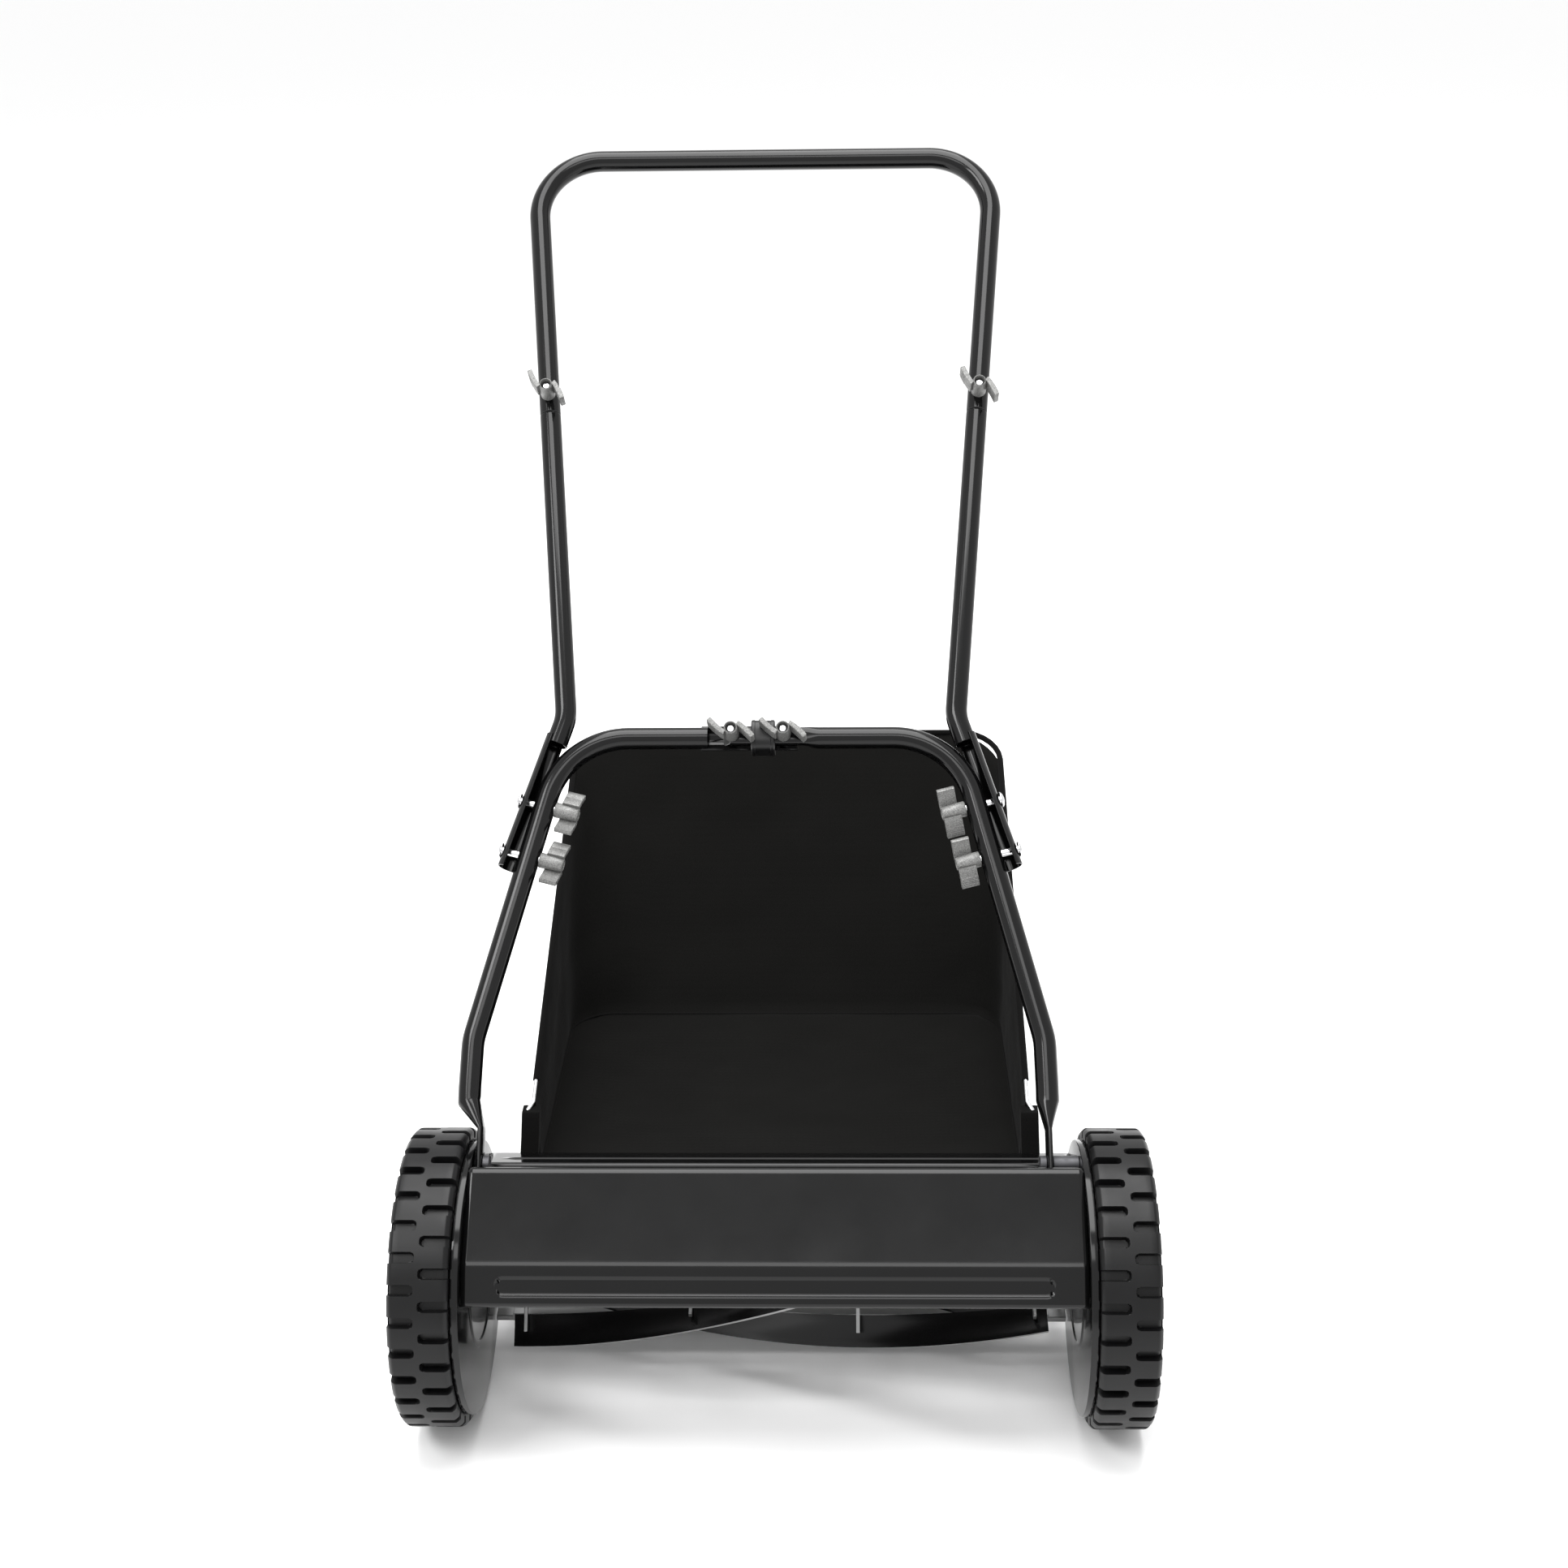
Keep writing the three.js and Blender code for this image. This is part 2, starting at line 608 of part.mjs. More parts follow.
// ---------------------------------------------------------------- handle tubes
function makeUpperHandle() {
  const slope = (MIDDLE_TOP_S - MIDDLE_BEND_S) / (UPPER_TOP_S - MIDDLE_BEND_S);
  const footX = MIDDLE_BEND_X + (UPPER_TOP_X - MIDDLE_BEND_X) * slope;
  const path = bentPath([
    [-footX, MIDDLE_TOP_S], [-UPPER_TOP_X, UPPER_TOP_S], [UPPER_TOP_X, UPPER_TOP_S], [footX, MIDDLE_TOP_S],
  ], [60, 60]);
  const tube = sweepHandle(path, () => [TUBE_R, TUBE_R]);
  return cut(tube, ...[-1, 1].map((side) =>
    handlePin(side * sideTubeX(UPPER_NUT_S), UPPER_NUT_S, RAISED, BOLT_R + GAP, -20, 20)));
}

function sideTubeX(s) {
  return MIDDLE_BEND_X + (UPPER_TOP_X - MIDDLE_BEND_X) * (s - MIDDLE_BEND_S) / (UPPER_TOP_S - MIDDLE_BEND_S);
}

function lowerTubeX(s) {
  return LOWER_BEND_X - (LOWER_BEND_X - LOWER_TOP_X) * (s - LOWER_BEND_S) / (LOWER_BAR_S - LOWER_BEND_S);
}

const LOWER_SLOPE = Math.atan2(LOWER_BEND_X - LOWER_TOP_X, LOWER_BAR_S - LOWER_BEND_S);
const CHANNEL_SLOPE = Math.atan2(CHANNEL_END_X - MIDDLE_BEND_X, MIDDLE_BEND_S - CHANNEL_END_S);

function channelX(s) {
  return CHANNEL_END_X - (s - CHANNEL_END_S) * Math.tan(CHANNEL_SLOPE);
}

// Distance from the lower tube's axis to the channel's axis, square to the lower tube.
function channelOffset(s) {
  return (channelX(s) - lowerTubeX(s)) * Math.cos(LOWER_SLOPE);
}

// The direction in the handle plane that points out of the mower, square to a sloping tube.
function outboard(side, slope = LOWER_SLOPE) {
  return ACROSS.clone().multiplyScalar(side * Math.cos(slope)).addScaledVector(ALONG, Math.sin(slope));
}

function makeMiddleHandle(side) {
  const neckS = MIDDLE_TOP_S + 45;
  const lowerS = MIDDLE_BEND_S - 26;
  const lower = [channelX(lowerS), lowerS];
  const path = bentPath([
    lower, [MIDDLE_BEND_X, MIDDLE_BEND_S], [sideTubeX(MIDDLE_TOP_S - GAP), MIDDLE_TOP_S - GAP],
  ], [45]).map(([x, s]) => [side * x, s]);
  path.push([side * sideTubeX(MIDDLE_TOP_S - GAP + 0.1), MIDDLE_TOP_S - GAP + 0.1],
    [side * sideTubeX(neckS), neckS]);
  const neckR = TUBE_R - TUBE_WALL - GAP;
  const tube = sweepHandle(path, (i) => (i < path.length - 2 ? [TUBE_R, TUBE_R] : [neckR, neckR]));
  const channelPath = [[side * channelX(CHANNEL_END_S), CHANNEL_END_S], [side * lower[0], lower[1] + 6]];
  const ring = sweepHandle(channelPath, () => [CHANNEL_R, CHANNEL_R], 1.6);
  const openSide = orient(box(-30, 30, -200, 200, -40, 0), onHandle(side * channelX(300), 300),
    outboard(side, CHANNEL_SLOPE), RAISED);
  const channel = cut(ring, openSide);
  return cut(join(tube, channel),
    ...CHANNEL_BOLT_S.map((s) => handlePin(side * lowerTubeX(s), s, outboard(side), BOLT_R + GAP, 0, 40)),
    handlePin(side * sideTubeX(UPPER_NUT_S), UPPER_NUT_S, RAISED, BOLT_R + GAP, -20, 20));
}

const FOOT_THIN = 2.6;
const FOOT_WIDE = 13;
const TROUGH_FROM_X = -48;
const TROUGH_TO_X = 34;
const CENTRE_NUT_X = [-26, 21];
const FLAT_T = 5.2;
const FLAT_LIFT = 4.6;

// Foot stations: x from the tube line, s up the handle, and the flattened section there.
function footStations(side) {
  const footX = side < 0 ? -255.3 - HANDLE_SHIFT_X : LOWER_BEND_X + 0.9;
  const tubeX = side * (LOWER_BEND_X + 0.9);
  return {
    path: [[footX, -9], [footX, 30], [tubeX, 54], [tubeX, 58], [tubeX, 78]],
    size: [[FOOT_THIN, FOOT_WIDE], [FOOT_THIN, FOOT_WIDE], [FOOT_THIN, FOOT_WIDE], [FOOT_THIN + 1, FOOT_WIDE],
      [TUBE_R, TUBE_R]],
  };
}

function lowerPath(side, endX) {
  const bend = bentPath([
    [side * (LOWER_BEND_X + 0.9), 80], [side * LOWER_BEND_X, LOWER_BEND_S],
    [side * LOWER_TOP_X, LOWER_BAR_S], [endX, LOWER_BAR_S],
  ], [60, 75]);
  return [...footStations(side).path, ...bend.slice(1)];
}

function lowerHoles(side) {
  const foot = pinX(HANDLE_PIVOT_Y, HANDLE_PIVOT_Z, boreR(PIVOT_R, 12), -290, 290, 12);
  const sides = CHANNEL_BOLT_S.map((s) =>
    handlePin(side * lowerTubeX(s), s, outboard(side), BOLT_R + GAP, -20, 20));
  const centre = CENTRE_NUT_X.map((x) => handlePin(x, LOWER_BAR_S, RAISED, BOLT_R + GAP, -20, 20));
  return [foot, ...sides, ...centre];
}

function makeLowerHandleLeft() {
  const path = lowerPath(-1, TROUGH_FROM_X);
  const sizes = footStations(-1).size;
  const tube = sweepHandle(path, (i) => sizes[i] ?? [TUBE_R, TUBE_R], TUBE_WALL, 4);
  const trough = sweepHandle([[TROUGH_FROM_X - 6, LOWER_BAR_S], [TROUGH_TO_X, LOWER_BAR_S]],
    () => [CHANNEL_R, CHANNEL_R], 1.6);
  const topAt = onHandle(TROUGH_FROM_X + 66, LOWER_BAR_S);
  const openTop = orient(box(-60, 60, -60, 60, 0, 30), topAt, RAISED, ACROSS);
  const overTube = sweepHandle([[TROUGH_FROM_X - 20, LOWER_BAR_S], [TROUGH_FROM_X - 2, LOWER_BAR_S]],
    () => [TUBE_R - 1, TUBE_R - 1], 0);
  return cut(join(tube, cut(trough, openTop, overTube)), ...lowerHoles(-1));
}

function makeLowerHandleRight() {
  const base = lowerPath(1, 52);
  const path = [...base, [38, LOWER_BAR_S], [TROUGH_FROM_X + 12, LOWER_BAR_S]];
  const sizes = footStations(1).size;
  const flatFrom = path.length - 2;
  const sizeAt = (i) => (i >= flatFrom ? [8.2, FLAT_T, FLAT_LIFT] : sizes[i] ?? [TUBE_R, TUBE_R]);
  const hollow = sweepHandle(path.slice(0, flatFrom), sizeAt, TUBE_WALL, 4);
  const flat = sweepHandle(path.slice(flatFrom - 1), (i) => sizeAt(i + flatFrom - 1), 0);
  return cut(join(hollow, flat), ...lowerHoles(1));
}

function makeClip() {
  return sweepHandle([[CLIP_FROM_X, LOWER_BAR_S], [CLIP_TO_X, LOWER_BAR_S]], () => [15.4, 15.4], 3.2);
}

// ---------------------------------------------------------------- bolts and wing nuts
function makeWingNut(x, s, axis, facing, lift) {
  const boss = pinZ(NUT_R, 0, NUT_TALL, 10);
  const wings = [-1, 1].map((side) => {
    const outline = [[4.2, 4.2], [5.6, 0.4], [20.5, -11.2], [21.4, -7.6]].map(([a, b]) =>
      new THREE.Vector2(side * a, side * b));
    const depth = NUT_TALL - WING_FROM;
    const wing = new THREE.ExtrudeGeometry(new THREE.Shape(outline), { depth, bevelEnabled: false });
    wing.translate(0, 0, WING_FROM);
    return wing;
  });
  const body = cut(join(boss, ...wings.map(outward)), pinZ(boreR(BOLT_R, 8), -1, NUT_TALL + 1, 8),
    pinZ(5, NUT_TALL - 9, NUT_TALL + 1, 8));
  const origin = onHandle(x, s).addScaledVector(axis, lift);
  return orient(body, origin, axis, facing);
}

function makeBolt(x, s, axis, headAt, tipAt) {
  const head = new THREE.LatheGeometry([
    new THREE.Vector2(0, headAt - 3.2), new THREE.Vector2(4, headAt - 2.8), new THREE.Vector2(7, headAt),
    new THREE.Vector2(BOLT_R, headAt), new THREE.Vector2(BOLT_R, tipAt), new THREE.Vector2(0, tipAt),
  ], 8);
  head.rotateX(Math.PI / 2);
  return orient(outward(head), onHandle(x, s), axis, ALONG);
}

function addFasteners() {
  for (const [word, side] of [['left', -1], ['right', 1]]) {
    const upperX = side * sideTubeX(UPPER_NUT_S);
    addPart(`upper_bolt_${word}`, 'chrome', makeBolt(upperX, UPPER_NUT_S, RAISED, -TUBE_R - GAP, 28));
    addPart(`upper_wing_nut_${word}`, 'castNut',
      makeWingNut(upperX, UPPER_NUT_S, RAISED, nutFacing(20), TUBE_R + GAP));
    const inboard = outboard(side).negate();
    CHANNEL_BOLT_S.forEach((s, i) => {
      const x = side * lowerTubeX(s);
      const level = ['top', 'bottom'][i];
      const headAt = -channelOffset(s) - CHANNEL_R - 3 * GAP;
      addPart(`lower_bolt_${word}_${level}`, 'chrome', makeBolt(x, s, inboard, headAt, 28));
      addPart(`lower_wing_nut_${word}_${level}`, 'castNut', makeWingNut(x, s, inboard, ALONG, TUBE_R + GAP));
    });
    const centreX = CENTRE_NUT_X[side < 0 ? 0 : 1];
    addPart(`centre_bolt_${word}`, 'chrome', makeBolt(centreX, LOWER_BAR_S, RAISED, -CHANNEL_R - GAP, 28));
    addPart(`centre_wing_nut_${word}`, 'castNut',
      makeWingNut(centreX, LOWER_BAR_S, RAISED, nutFacing(0), FLAT_LIFT + FLAT_T + GAP));
  }
}

function nutFacing(degrees) {
  const turn = degrees * RAD;
  return ACROSS.clone().multiplyScalar(Math.cos(turn)).addScaledVector(ALONG, -Math.sin(turn));
}

// ---------------------------------------------------------------- catcher
const BAG_FLOOR_FRONT_Y = 111;
const BAG_FLOOR_REAR_Y = 392;
const BAG_FLOOR_Z = 167.5;
const BAG_RIM_FRONT = [141, 222];
const BAG_RIM_REAR = [587, 400];
const BAG_CORNER = 42;

// U outline seen from above, as [x, share of the run from front to rear, rear setback].
function bagOutline(half, corner, inset) {
  const turns = [0, 30, 60, 90].map((a) => a * RAD);
  const middle = half - corner;
  const rightRear = turns.map((a) => [middle + corner * Math.cos(a), -corner * (1 - Math.sin(a)) - inset]);
  const leftRear = rightRear.map(([x, back]) => [-x, back]).reverse();
  return [...rightRear, ...leftRear];
}

function bagLevel(front, rear, half, corner, inset, lift) {
  const run = new THREE.Vector2(rear[0] - front[0], rear[1] - front[1]);
  const length = run.length();
  const place = (x, along) => new THREE.Vector3(
    x, front[0] + run.x * along / length, front[1] + run.y * along / length + lift);
  const curve = bagOutline(half, corner, inset).map(([x, back]) => place(x, length + back));
  return [place(half, 0), ...curve, place(-half, 0)];
}

function makeBag() {
  const floorFront = [BAG_FLOOR_FRONT_Y, BAG_FLOOR_Z];
  const floorRear = [BAG_FLOOR_REAR_Y, BAG_FLOOR_Z];
  const levels = [
    bagLevel(floorFront, floorRear, BAG_HALF - 8, BAG_CORNER, 0, 0),
    bagLevel(BAG_RIM_FRONT, BAG_RIM_REAR, BAG_HALF, BAG_CORNER, 0, -WIRE_R - GAP),
    bagLevel(BAG_RIM_FRONT, BAG_RIM_REAR, BAG_HALF - BAG_T, BAG_CORNER - BAG_T, BAG_T, -WIRE_R - GAP),
    bagLevel(floorFront, floorRear, BAG_HALF - 8 - BAG_T, BAG_CORNER - BAG_T, BAG_T, BAG_T),
  ];
  const count = levels[0].length;
  const points = levels.flat();
  const faces = [];
  for (let level = 0; level < 3; level += 1) {
    for (let i = 0; i + 1 < count; i += 1) {
      const [a, b] = [level * count + i, (level + 1) * count + i];
      faces.push([a, a + 1, b + 1], [a, b + 1, b]);
    }
  }
  for (let i = 1; i + 1 < count; i += 1) {
    faces.push([0, i + 1, i], [3 * count, 3 * count + i, 3 * count + i + 1]);
  }
  const end = count - 1;
  faces.push([0, count, 2 * count], [0, 2 * count, 3 * count]);
  faces.push([end, 2 * count + end, count + end], [end, 3 * count + end, 2 * count + end]);
  faces.push([0, 3 * count, 3 * count + end], [0, 3 * count + end, end]);
  const body = new THREE.BufferGeometry();
  body.setAttribute('position', new THREE.Float32BufferAttribute(points.flatMap((p) => [p.x, p.y, p.z]), 3));
  body.setIndex(faces.flat());
  return outward(body);
}

// Sweeps a round wire along 3-D points, keeping one side of the section level with guide.
function makeWire(points, radius, count = 6) {
  const rings = points.map((here, i) => {
    const back = points[Math.max(i - 1, 0)];
    const ahead = points[Math.min(i + 1, points.length - 1)];
    const into = here.clone().sub(back).normalize();
    const out = ahead.clone().sub(here).normalize();
    const tangent = into.clone().add(out).normalize();
    const level = new THREE.Vector3(0, 0.35, -0.94).cross(tangent).normalize();
    const up = tangent.clone().cross(level);
    return Array.from({ length: count }, (_, k) => {
      const turn = k * 2 * Math.PI / count;
      return here.clone()
        .addScaledVector(level, radius * Math.cos(turn))
        .addScaledVector(up, radius * Math.sin(turn));
    });
  });
  return loft(rings);
}

function makeCatcherWire() {
  const half = BAG_HALF - BAG_T / 2;
  const rim = bagLevel(BAG_RIM_FRONT, BAG_RIM_REAR, half, BAG_CORNER - BAG_T / 2, BAG_T / 2, 0);
  const rodTop = ROD_Z + ROD_R + GAP + WIRE_R;
  const foot = (side) => [
    new THREE.Vector3(side * 231, ROD_Y - 3, rodTop), new THREE.Vector3(side * 231, ROD_Y + 5, rodTop + 1),
    new THREE.Vector3(side * 230.8, BAG_RIM_FRONT[0] - 15, BAG_RIM_FRONT[1] - 9),
    new THREE.Vector3(side * (BAG_HALF - BAG_T / 2), BAG_RIM_FRONT[0] - 6, BAG_RIM_FRONT[1] - 2.3),
  ];
  return makeWire([...foot(1), ...rim, ...foot(-1).reverse()], WIRE_R);
}

// ---------------------------------------------------------------- assembly
for (const [word, side] of [['left', -1], ['right', 1]]) {
  addPart(`tyre_${word}`, 'rubber', onSide(side, makeTyre()));
  addPart(`wheel_${word}`, 'blackPlastic', onSide(side, makeWheel()));
  addPart(`hub_cap_${word}`, 'blackPlastic', onSide(side, makeHubCap()));
  addPart(`pinion_${word}`, 'gearIron', onSide(side, makePinion()));
  addPart(`pawl_${word}`, 'gearIron', onSide(side, makePawl()));
  addPart(`reel_bearing_${word}`, 'gearIron', onSide(side, makeBearing()));
  addPart(`side_plate_${word}`, 'blackPaint', onSide(side, makeSidePlate()));
  addPart(`roller_bracket_${word}`, 'blackPaint', onSide(side, makeRollerBracket()));
  addPart(`middle_handle_${word}`, 'blackPaint', makeMiddleHandle(side));
}
addPart('handle_pivot_left', 'gearIron', mirrorX(makePivotBolt(255.3 - FOOT_THIN, 255.3 + FOOT_THIN)));
const rightFootX = LOWER_BEND_X + 0.9 + HANDLE_SHIFT_X;
addPart('handle_pivot_right', 'gearIron', makePivotBolt(rightFootX - FOOT_THIN, rightFootX + FOOT_THIN));
addPart('reel_shaft', 'gearIron', makeShaft());
for (let i = 0; i < BLADE_COUNT; i += 1) addPart(`reel_blade_${i + 1}`, 'bladeSteel', makeBlade(i));
SPIDER_X.forEach((x, i) => addPart(`reel_spider_${i + 1}`, 'greySteel', makeSpider(x)));
addPart('front_guard', 'blackPaint', makeGuard());
addPart('rear_tie_plate', 'blackPaint', makeTiePlate());
addPart('bed_knife_bar', 'greySteel', makeBedKnifeBar());
addPart('bed_knife_blade', 'greySteel', makeBedKnifeBlade());
addPart('catcher_rod', 'blackPaint', pinX(ROD_Y, ROD_Z, ROD_R, -249, 249, 10));
addPart('rear_roller', 'blackPlastic', makeRoller());
addPart('roller_rod', 'greySteel', pinX(ROLLER_Y, ROLLER_R, ROLLER_ROD_R, -256, 256, 16));
addPart('lower_handle_left', 'blackPaint', makeLowerHandleLeft());
addPart('lower_handle_right', 'blackPaint', makeLowerHandleRight());
addPart('handle_clip', 'blackPlastic', makeClip());
addPart('upper_handle', 'blackPaint', makeUpperHandle());
addFasteners();
addPart('catcher_bag', 'cloth', makeBag());
addPart('catcher_frame', 'chrome', makeCatcherWire());

export default mower;
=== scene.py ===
import json
import math

import bmesh
import bpy
import numpy as np
from mathutils import Matrix, Vector
from mathutils import noise as turbulence


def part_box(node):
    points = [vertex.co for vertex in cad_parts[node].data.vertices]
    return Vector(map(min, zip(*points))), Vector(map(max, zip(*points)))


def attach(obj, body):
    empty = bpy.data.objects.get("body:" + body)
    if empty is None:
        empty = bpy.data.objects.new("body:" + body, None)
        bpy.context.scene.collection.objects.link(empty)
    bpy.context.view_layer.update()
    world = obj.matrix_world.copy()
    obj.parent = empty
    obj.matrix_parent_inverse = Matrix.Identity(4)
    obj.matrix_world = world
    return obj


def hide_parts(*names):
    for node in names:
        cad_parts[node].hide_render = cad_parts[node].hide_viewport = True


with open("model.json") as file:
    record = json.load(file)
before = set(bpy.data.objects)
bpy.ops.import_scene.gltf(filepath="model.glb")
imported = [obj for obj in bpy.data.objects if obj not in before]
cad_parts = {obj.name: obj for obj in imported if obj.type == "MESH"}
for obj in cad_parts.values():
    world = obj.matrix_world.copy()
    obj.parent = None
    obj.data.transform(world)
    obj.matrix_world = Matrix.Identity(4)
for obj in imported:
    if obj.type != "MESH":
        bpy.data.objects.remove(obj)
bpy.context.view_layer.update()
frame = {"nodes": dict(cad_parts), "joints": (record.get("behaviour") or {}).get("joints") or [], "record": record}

# ------------------------------------------------------------------ the frame's own facts
MM = 0.001
SIDES = (("left", -1), ("right", 1))
RECORD = frame["record"]
BODY_OF = {node: body for body, nodes in RECORD["behaviour"]["bodies"].items() for node in nodes}
SLOT_OF = {part["node"]: part["material_slot"] for part in RECORD["subparts"]}
JOINTS = {joint["name"]: joint for joint in frame["joints"]}

TYRE_LOW, TYRE_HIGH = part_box("tyre_right")
AXLE_Y = JOINTS["right_wheel_spin"]["pos_m"][1]
WHEEL_R = TYRE_HIGH.z / 2 / MM
WHEEL_IN_X = TYRE_LOW.x / MM
WHEEL_OUT_X = TYRE_HIGH.x / MM

PIVOT = Vector(JOINTS["handle_fold"]["pos_m"])
RAISED = Vector(JOINTS["upper_nut_turn_left"]["axis"]).normalized()
ALONG = Vector((0, RAISED.z, -RAISED.y))
ACROSS = Vector((1, 0, 0))
HANDLE_SHIFT_X = -16.6

REEL_Y = (JOINTS["reel_spin"]["pos_m"][1] - AXLE_Y) / MM
REEL_Z = JOINTS["reel_spin"]["pos_m"][2] / MM

# ------------------------------------------------------------------ sizes, in millimetres
TUBE_R = 10
TUBE_SIDES = 40
TUBE_WALL = 1.4
BORE_DEEP = 30
BEND_STEP = math.radians(4)
CHANNEL_R = 11.5
CHANNEL_WALL = 1.6
CHANNEL_LIPS = (65, 112)
LOWER_BAR_S = 386.2
LOWER_TOP_X = 178.4
LOWER_BEND_X = 249.8
LOWER_BEND_S = 108
LEG_X = LOWER_BEND_X + 0.9
LEFT_FOOT_X = -255.3
FOOT_TOP_S = 90
MIDDLE_BEND_X = 178.3
MIDDLE_BEND_S = 406.6
SEAM_S = 713.8
UPPER_TOP_X = 227.5
UPPER_TOP_S = 993.9
UPPER_NUT_S = 731
CHANNEL_END_X = 224.3
CHANNEL_END_S = 263
CHANNEL_BOLT_S = (321, 274)
CENTRE_NUT_X = (-26, 21)
TROUGH_FROM_X = -48
TROUGH_TO_X = 34
FLAT_TALL = 5.2
FLAT_LIFT = 4.6
MITRE = 0.75
CLIP_FROM_X = -8.2
CLIP_TO_X = 13.4
CLIP_R = 15.4
FOOT_THIN = 2.6
FOOT_WIDE = 13
PINCH_S = (30, 54)
NUT_TALL = 22
WING_LOW = 5.6
WING_ROOT = (5.6, 4.5)
WING_KNEE = (10.2, 2.4)
WING_TIP = (20.2, -8.6)
WING_T = 4.6
RIB_COUNT = 5
RIB_RISE = 0.45
RIB_FROM = 0.58
RIB_TO = 0.92
BOLT_R = 3.5

TREAD_LUGS = 30
TREAD_DEPTH = 6.5
TREAD_PITCH = 2 * math.pi * WHEEL_R / TREAD_LUGS
TREAD_MIDDLE = (WHEEL_IN_X + WHEEL_OUT_X) / 2 + 1
GROOVE_R = 4.6
GROOVE_WALL = 0.8
TYRE_IN_R = 112
GEAR_TEETH = 28
GEAR_MODULE = 3.75
GEAR_OUT_R = 61
GEAR_X = (272, 297.5)

BLADE_COUNT = 5
BLADE_IN_R = 47
BLADE_OUT_R = 74.7
BLADE_T = 2.4
REEL_HALF = 233
BLADE_PHASE = math.radians(232.6)
BLADE_PHASE_X = -222
BLADE_TWIST = math.radians(-0.236)

PLATE_X = 259
PLATE_R = 117
GUARD_HALF = 258.5
GUARD_PROFILE = ((-6, 238), (-17, 246.5), (-80, 192.4), (-95, 166), (-90, 162))
GUARD_T = 2
BEAD_HALF = 232
BEAD_RISE = 1.8
TIE_PROFILE = ((57, 196), (60, 201), (96, 188.3))
TIE_HALF = 258.7
TIE_T = 1.6
TIE_BEAD_Y = 76
TIE_BEAD_HALF = 236

ROD_Y = 104
ROD_Z = 176.6
ROD_R = 2
WIRE_R = 2
SLEEVE_R = 3
CLOTH_T = 0.9
FOLDS = ((2.2, 70, 3.1), (0.9, 26, 7.7))
BAG_HALF = 226
BAG_T = 3
BAG_CORNER = 42
CLOTH_CORNER = 60
FLOOR_INSET = 8
FLOOR_HALF = BAG_HALF - FLOOR_INSET
RIM_HALF = BAG_HALF - BAG_T / 2
FLOOR_FRONT = (111, 167.5)
FLOOR_REAR = (392, 167.5)
SLEEVE_FROM = 2
RIM_FRONT = (141, 222)
RIM_REAR = (587, 400)


def at(x, y, z):
    """A point in mm, with y from the wheel axle and z from the ground, as a frame point."""
    return Vector((x * MM, AXLE_Y + y * MM, z * MM))


def on_handle(x, s, h=0):
    """A point in mm on the handle's plane: across, up the handle and off the plane."""
    return PIVOT + ((x + HANDLE_SHIFT_X) * ACROSS + s * ALONG + h * RAISED) * MM


def smooth(t):
    t = min(max(t, 0), 1)
    return t * t * (3 - 2 * t)


def lerp(a, b, t):
    return a + (b - a) * t


# ------------------------------------------------------------------ materials
class Surface:
    """A Principled material with short ways to add grain, colour variation and relief."""

    def __init__(self, name, color, roughness, metallic=0.0, **uniform):
        self.material = bpy.data.materials.new(name)
        self.material.use_nodes = True
        self.tree = self.material.node_tree
        self.shader = self.tree.nodes["Principled BSDF"]
        self.color = color
        self.shader.inputs["Base Color"].default_value = (*color, 1)
        self.shader.inputs["Roughness"].default_value = roughness
        self.shader.inputs["Metallic"].default_value = metallic
        for socket, value in uniform.items():
            self.shader.inputs[socket.replace("_", " ")].default_value = value
        self.place = self.tree.nodes.new("ShaderNodeTexCoord").outputs["Object"]
        self.relief = None

    def node(self, kind, **values):
        made = self.tree.nodes.new(kind)
        for socket, value in values.items():
            made.inputs[socket.replace("_", " ")].default_value = value
        return made

    def link(self, source, target):
        self.tree.links.new(source, target)

    def stretched(self, scale):
        mapping = self.node("ShaderNodeMapping", Scale=scale)
        self.link(self.place, mapping.inputs["Vector"])
        return mapping.outputs["Vector"]

    def noise(self, scale, detail=3.0, place=None):
        made = self.node("ShaderNodeTexNoise", Scale=scale, Detail=detail)
        self.link(place or self.place, made.inputs["Vector"])
        return made.outputs["Fac"]

    def spread(self, source, low, high, start=0.3, end=0.7):
        made = self.node("ShaderNodeMapRange", From_Min=start, From_Max=end, To_Min=low, To_Max=high)
        self.link(source, made.inputs["Value"])
        return made.outputs["Result"]

    def vary_color(self, source, low, high):
        """Takes the base colour from low to high times itself over the pattern."""
        ramp = self.tree.nodes.new("ShaderNodeValToRGB")
        ramp.color_ramp.elements[0].position = 0.3
        ramp.color_ramp.elements[1].position = 0.7
        for element, gain in zip(ramp.color_ramp.elements, (low, high)):
            element.color = (*[min(1, c * gain) for c in self.color], 1)
        self.link(source, ramp.inputs["Fac"])
        self.link(ramp.outputs["Color"], self.shader.inputs["Base Color"])

    def vary_roughness(self, source, low, high):
        self.link(self.spread(source, low, high), self.shader.inputs["Roughness"])

    def bump(self, source, strength, depth_mm):
        made = self.node("ShaderNodeBump", Strength=strength, Distance=depth_mm * MM)
        self.link(source, made.inputs["Height"])
        if self.relief:
            self.link(self.relief, made.inputs["Normal"])
        self.relief = made.outputs["Normal"]
        self.link(self.relief, self.shader.inputs["Normal"])


def gloss_paint(name, roughness):
    """Baked enamel: even black, with a faint orange peel and slightly duller patches."""
    paint = Surface(name, (0.0022, 0.0022, 0.0023), roughness, Specular_IOR_Level=0.28)
    paint.vary_color(paint.noise(14, 2), 0.9, 1.15)
    paint.vary_roughness(paint.noise(22, 3), roughness - 0.015, roughness + 0.02)
    paint.bump(paint.noise(330, 1), 0.05, 0.02)
    return paint.material


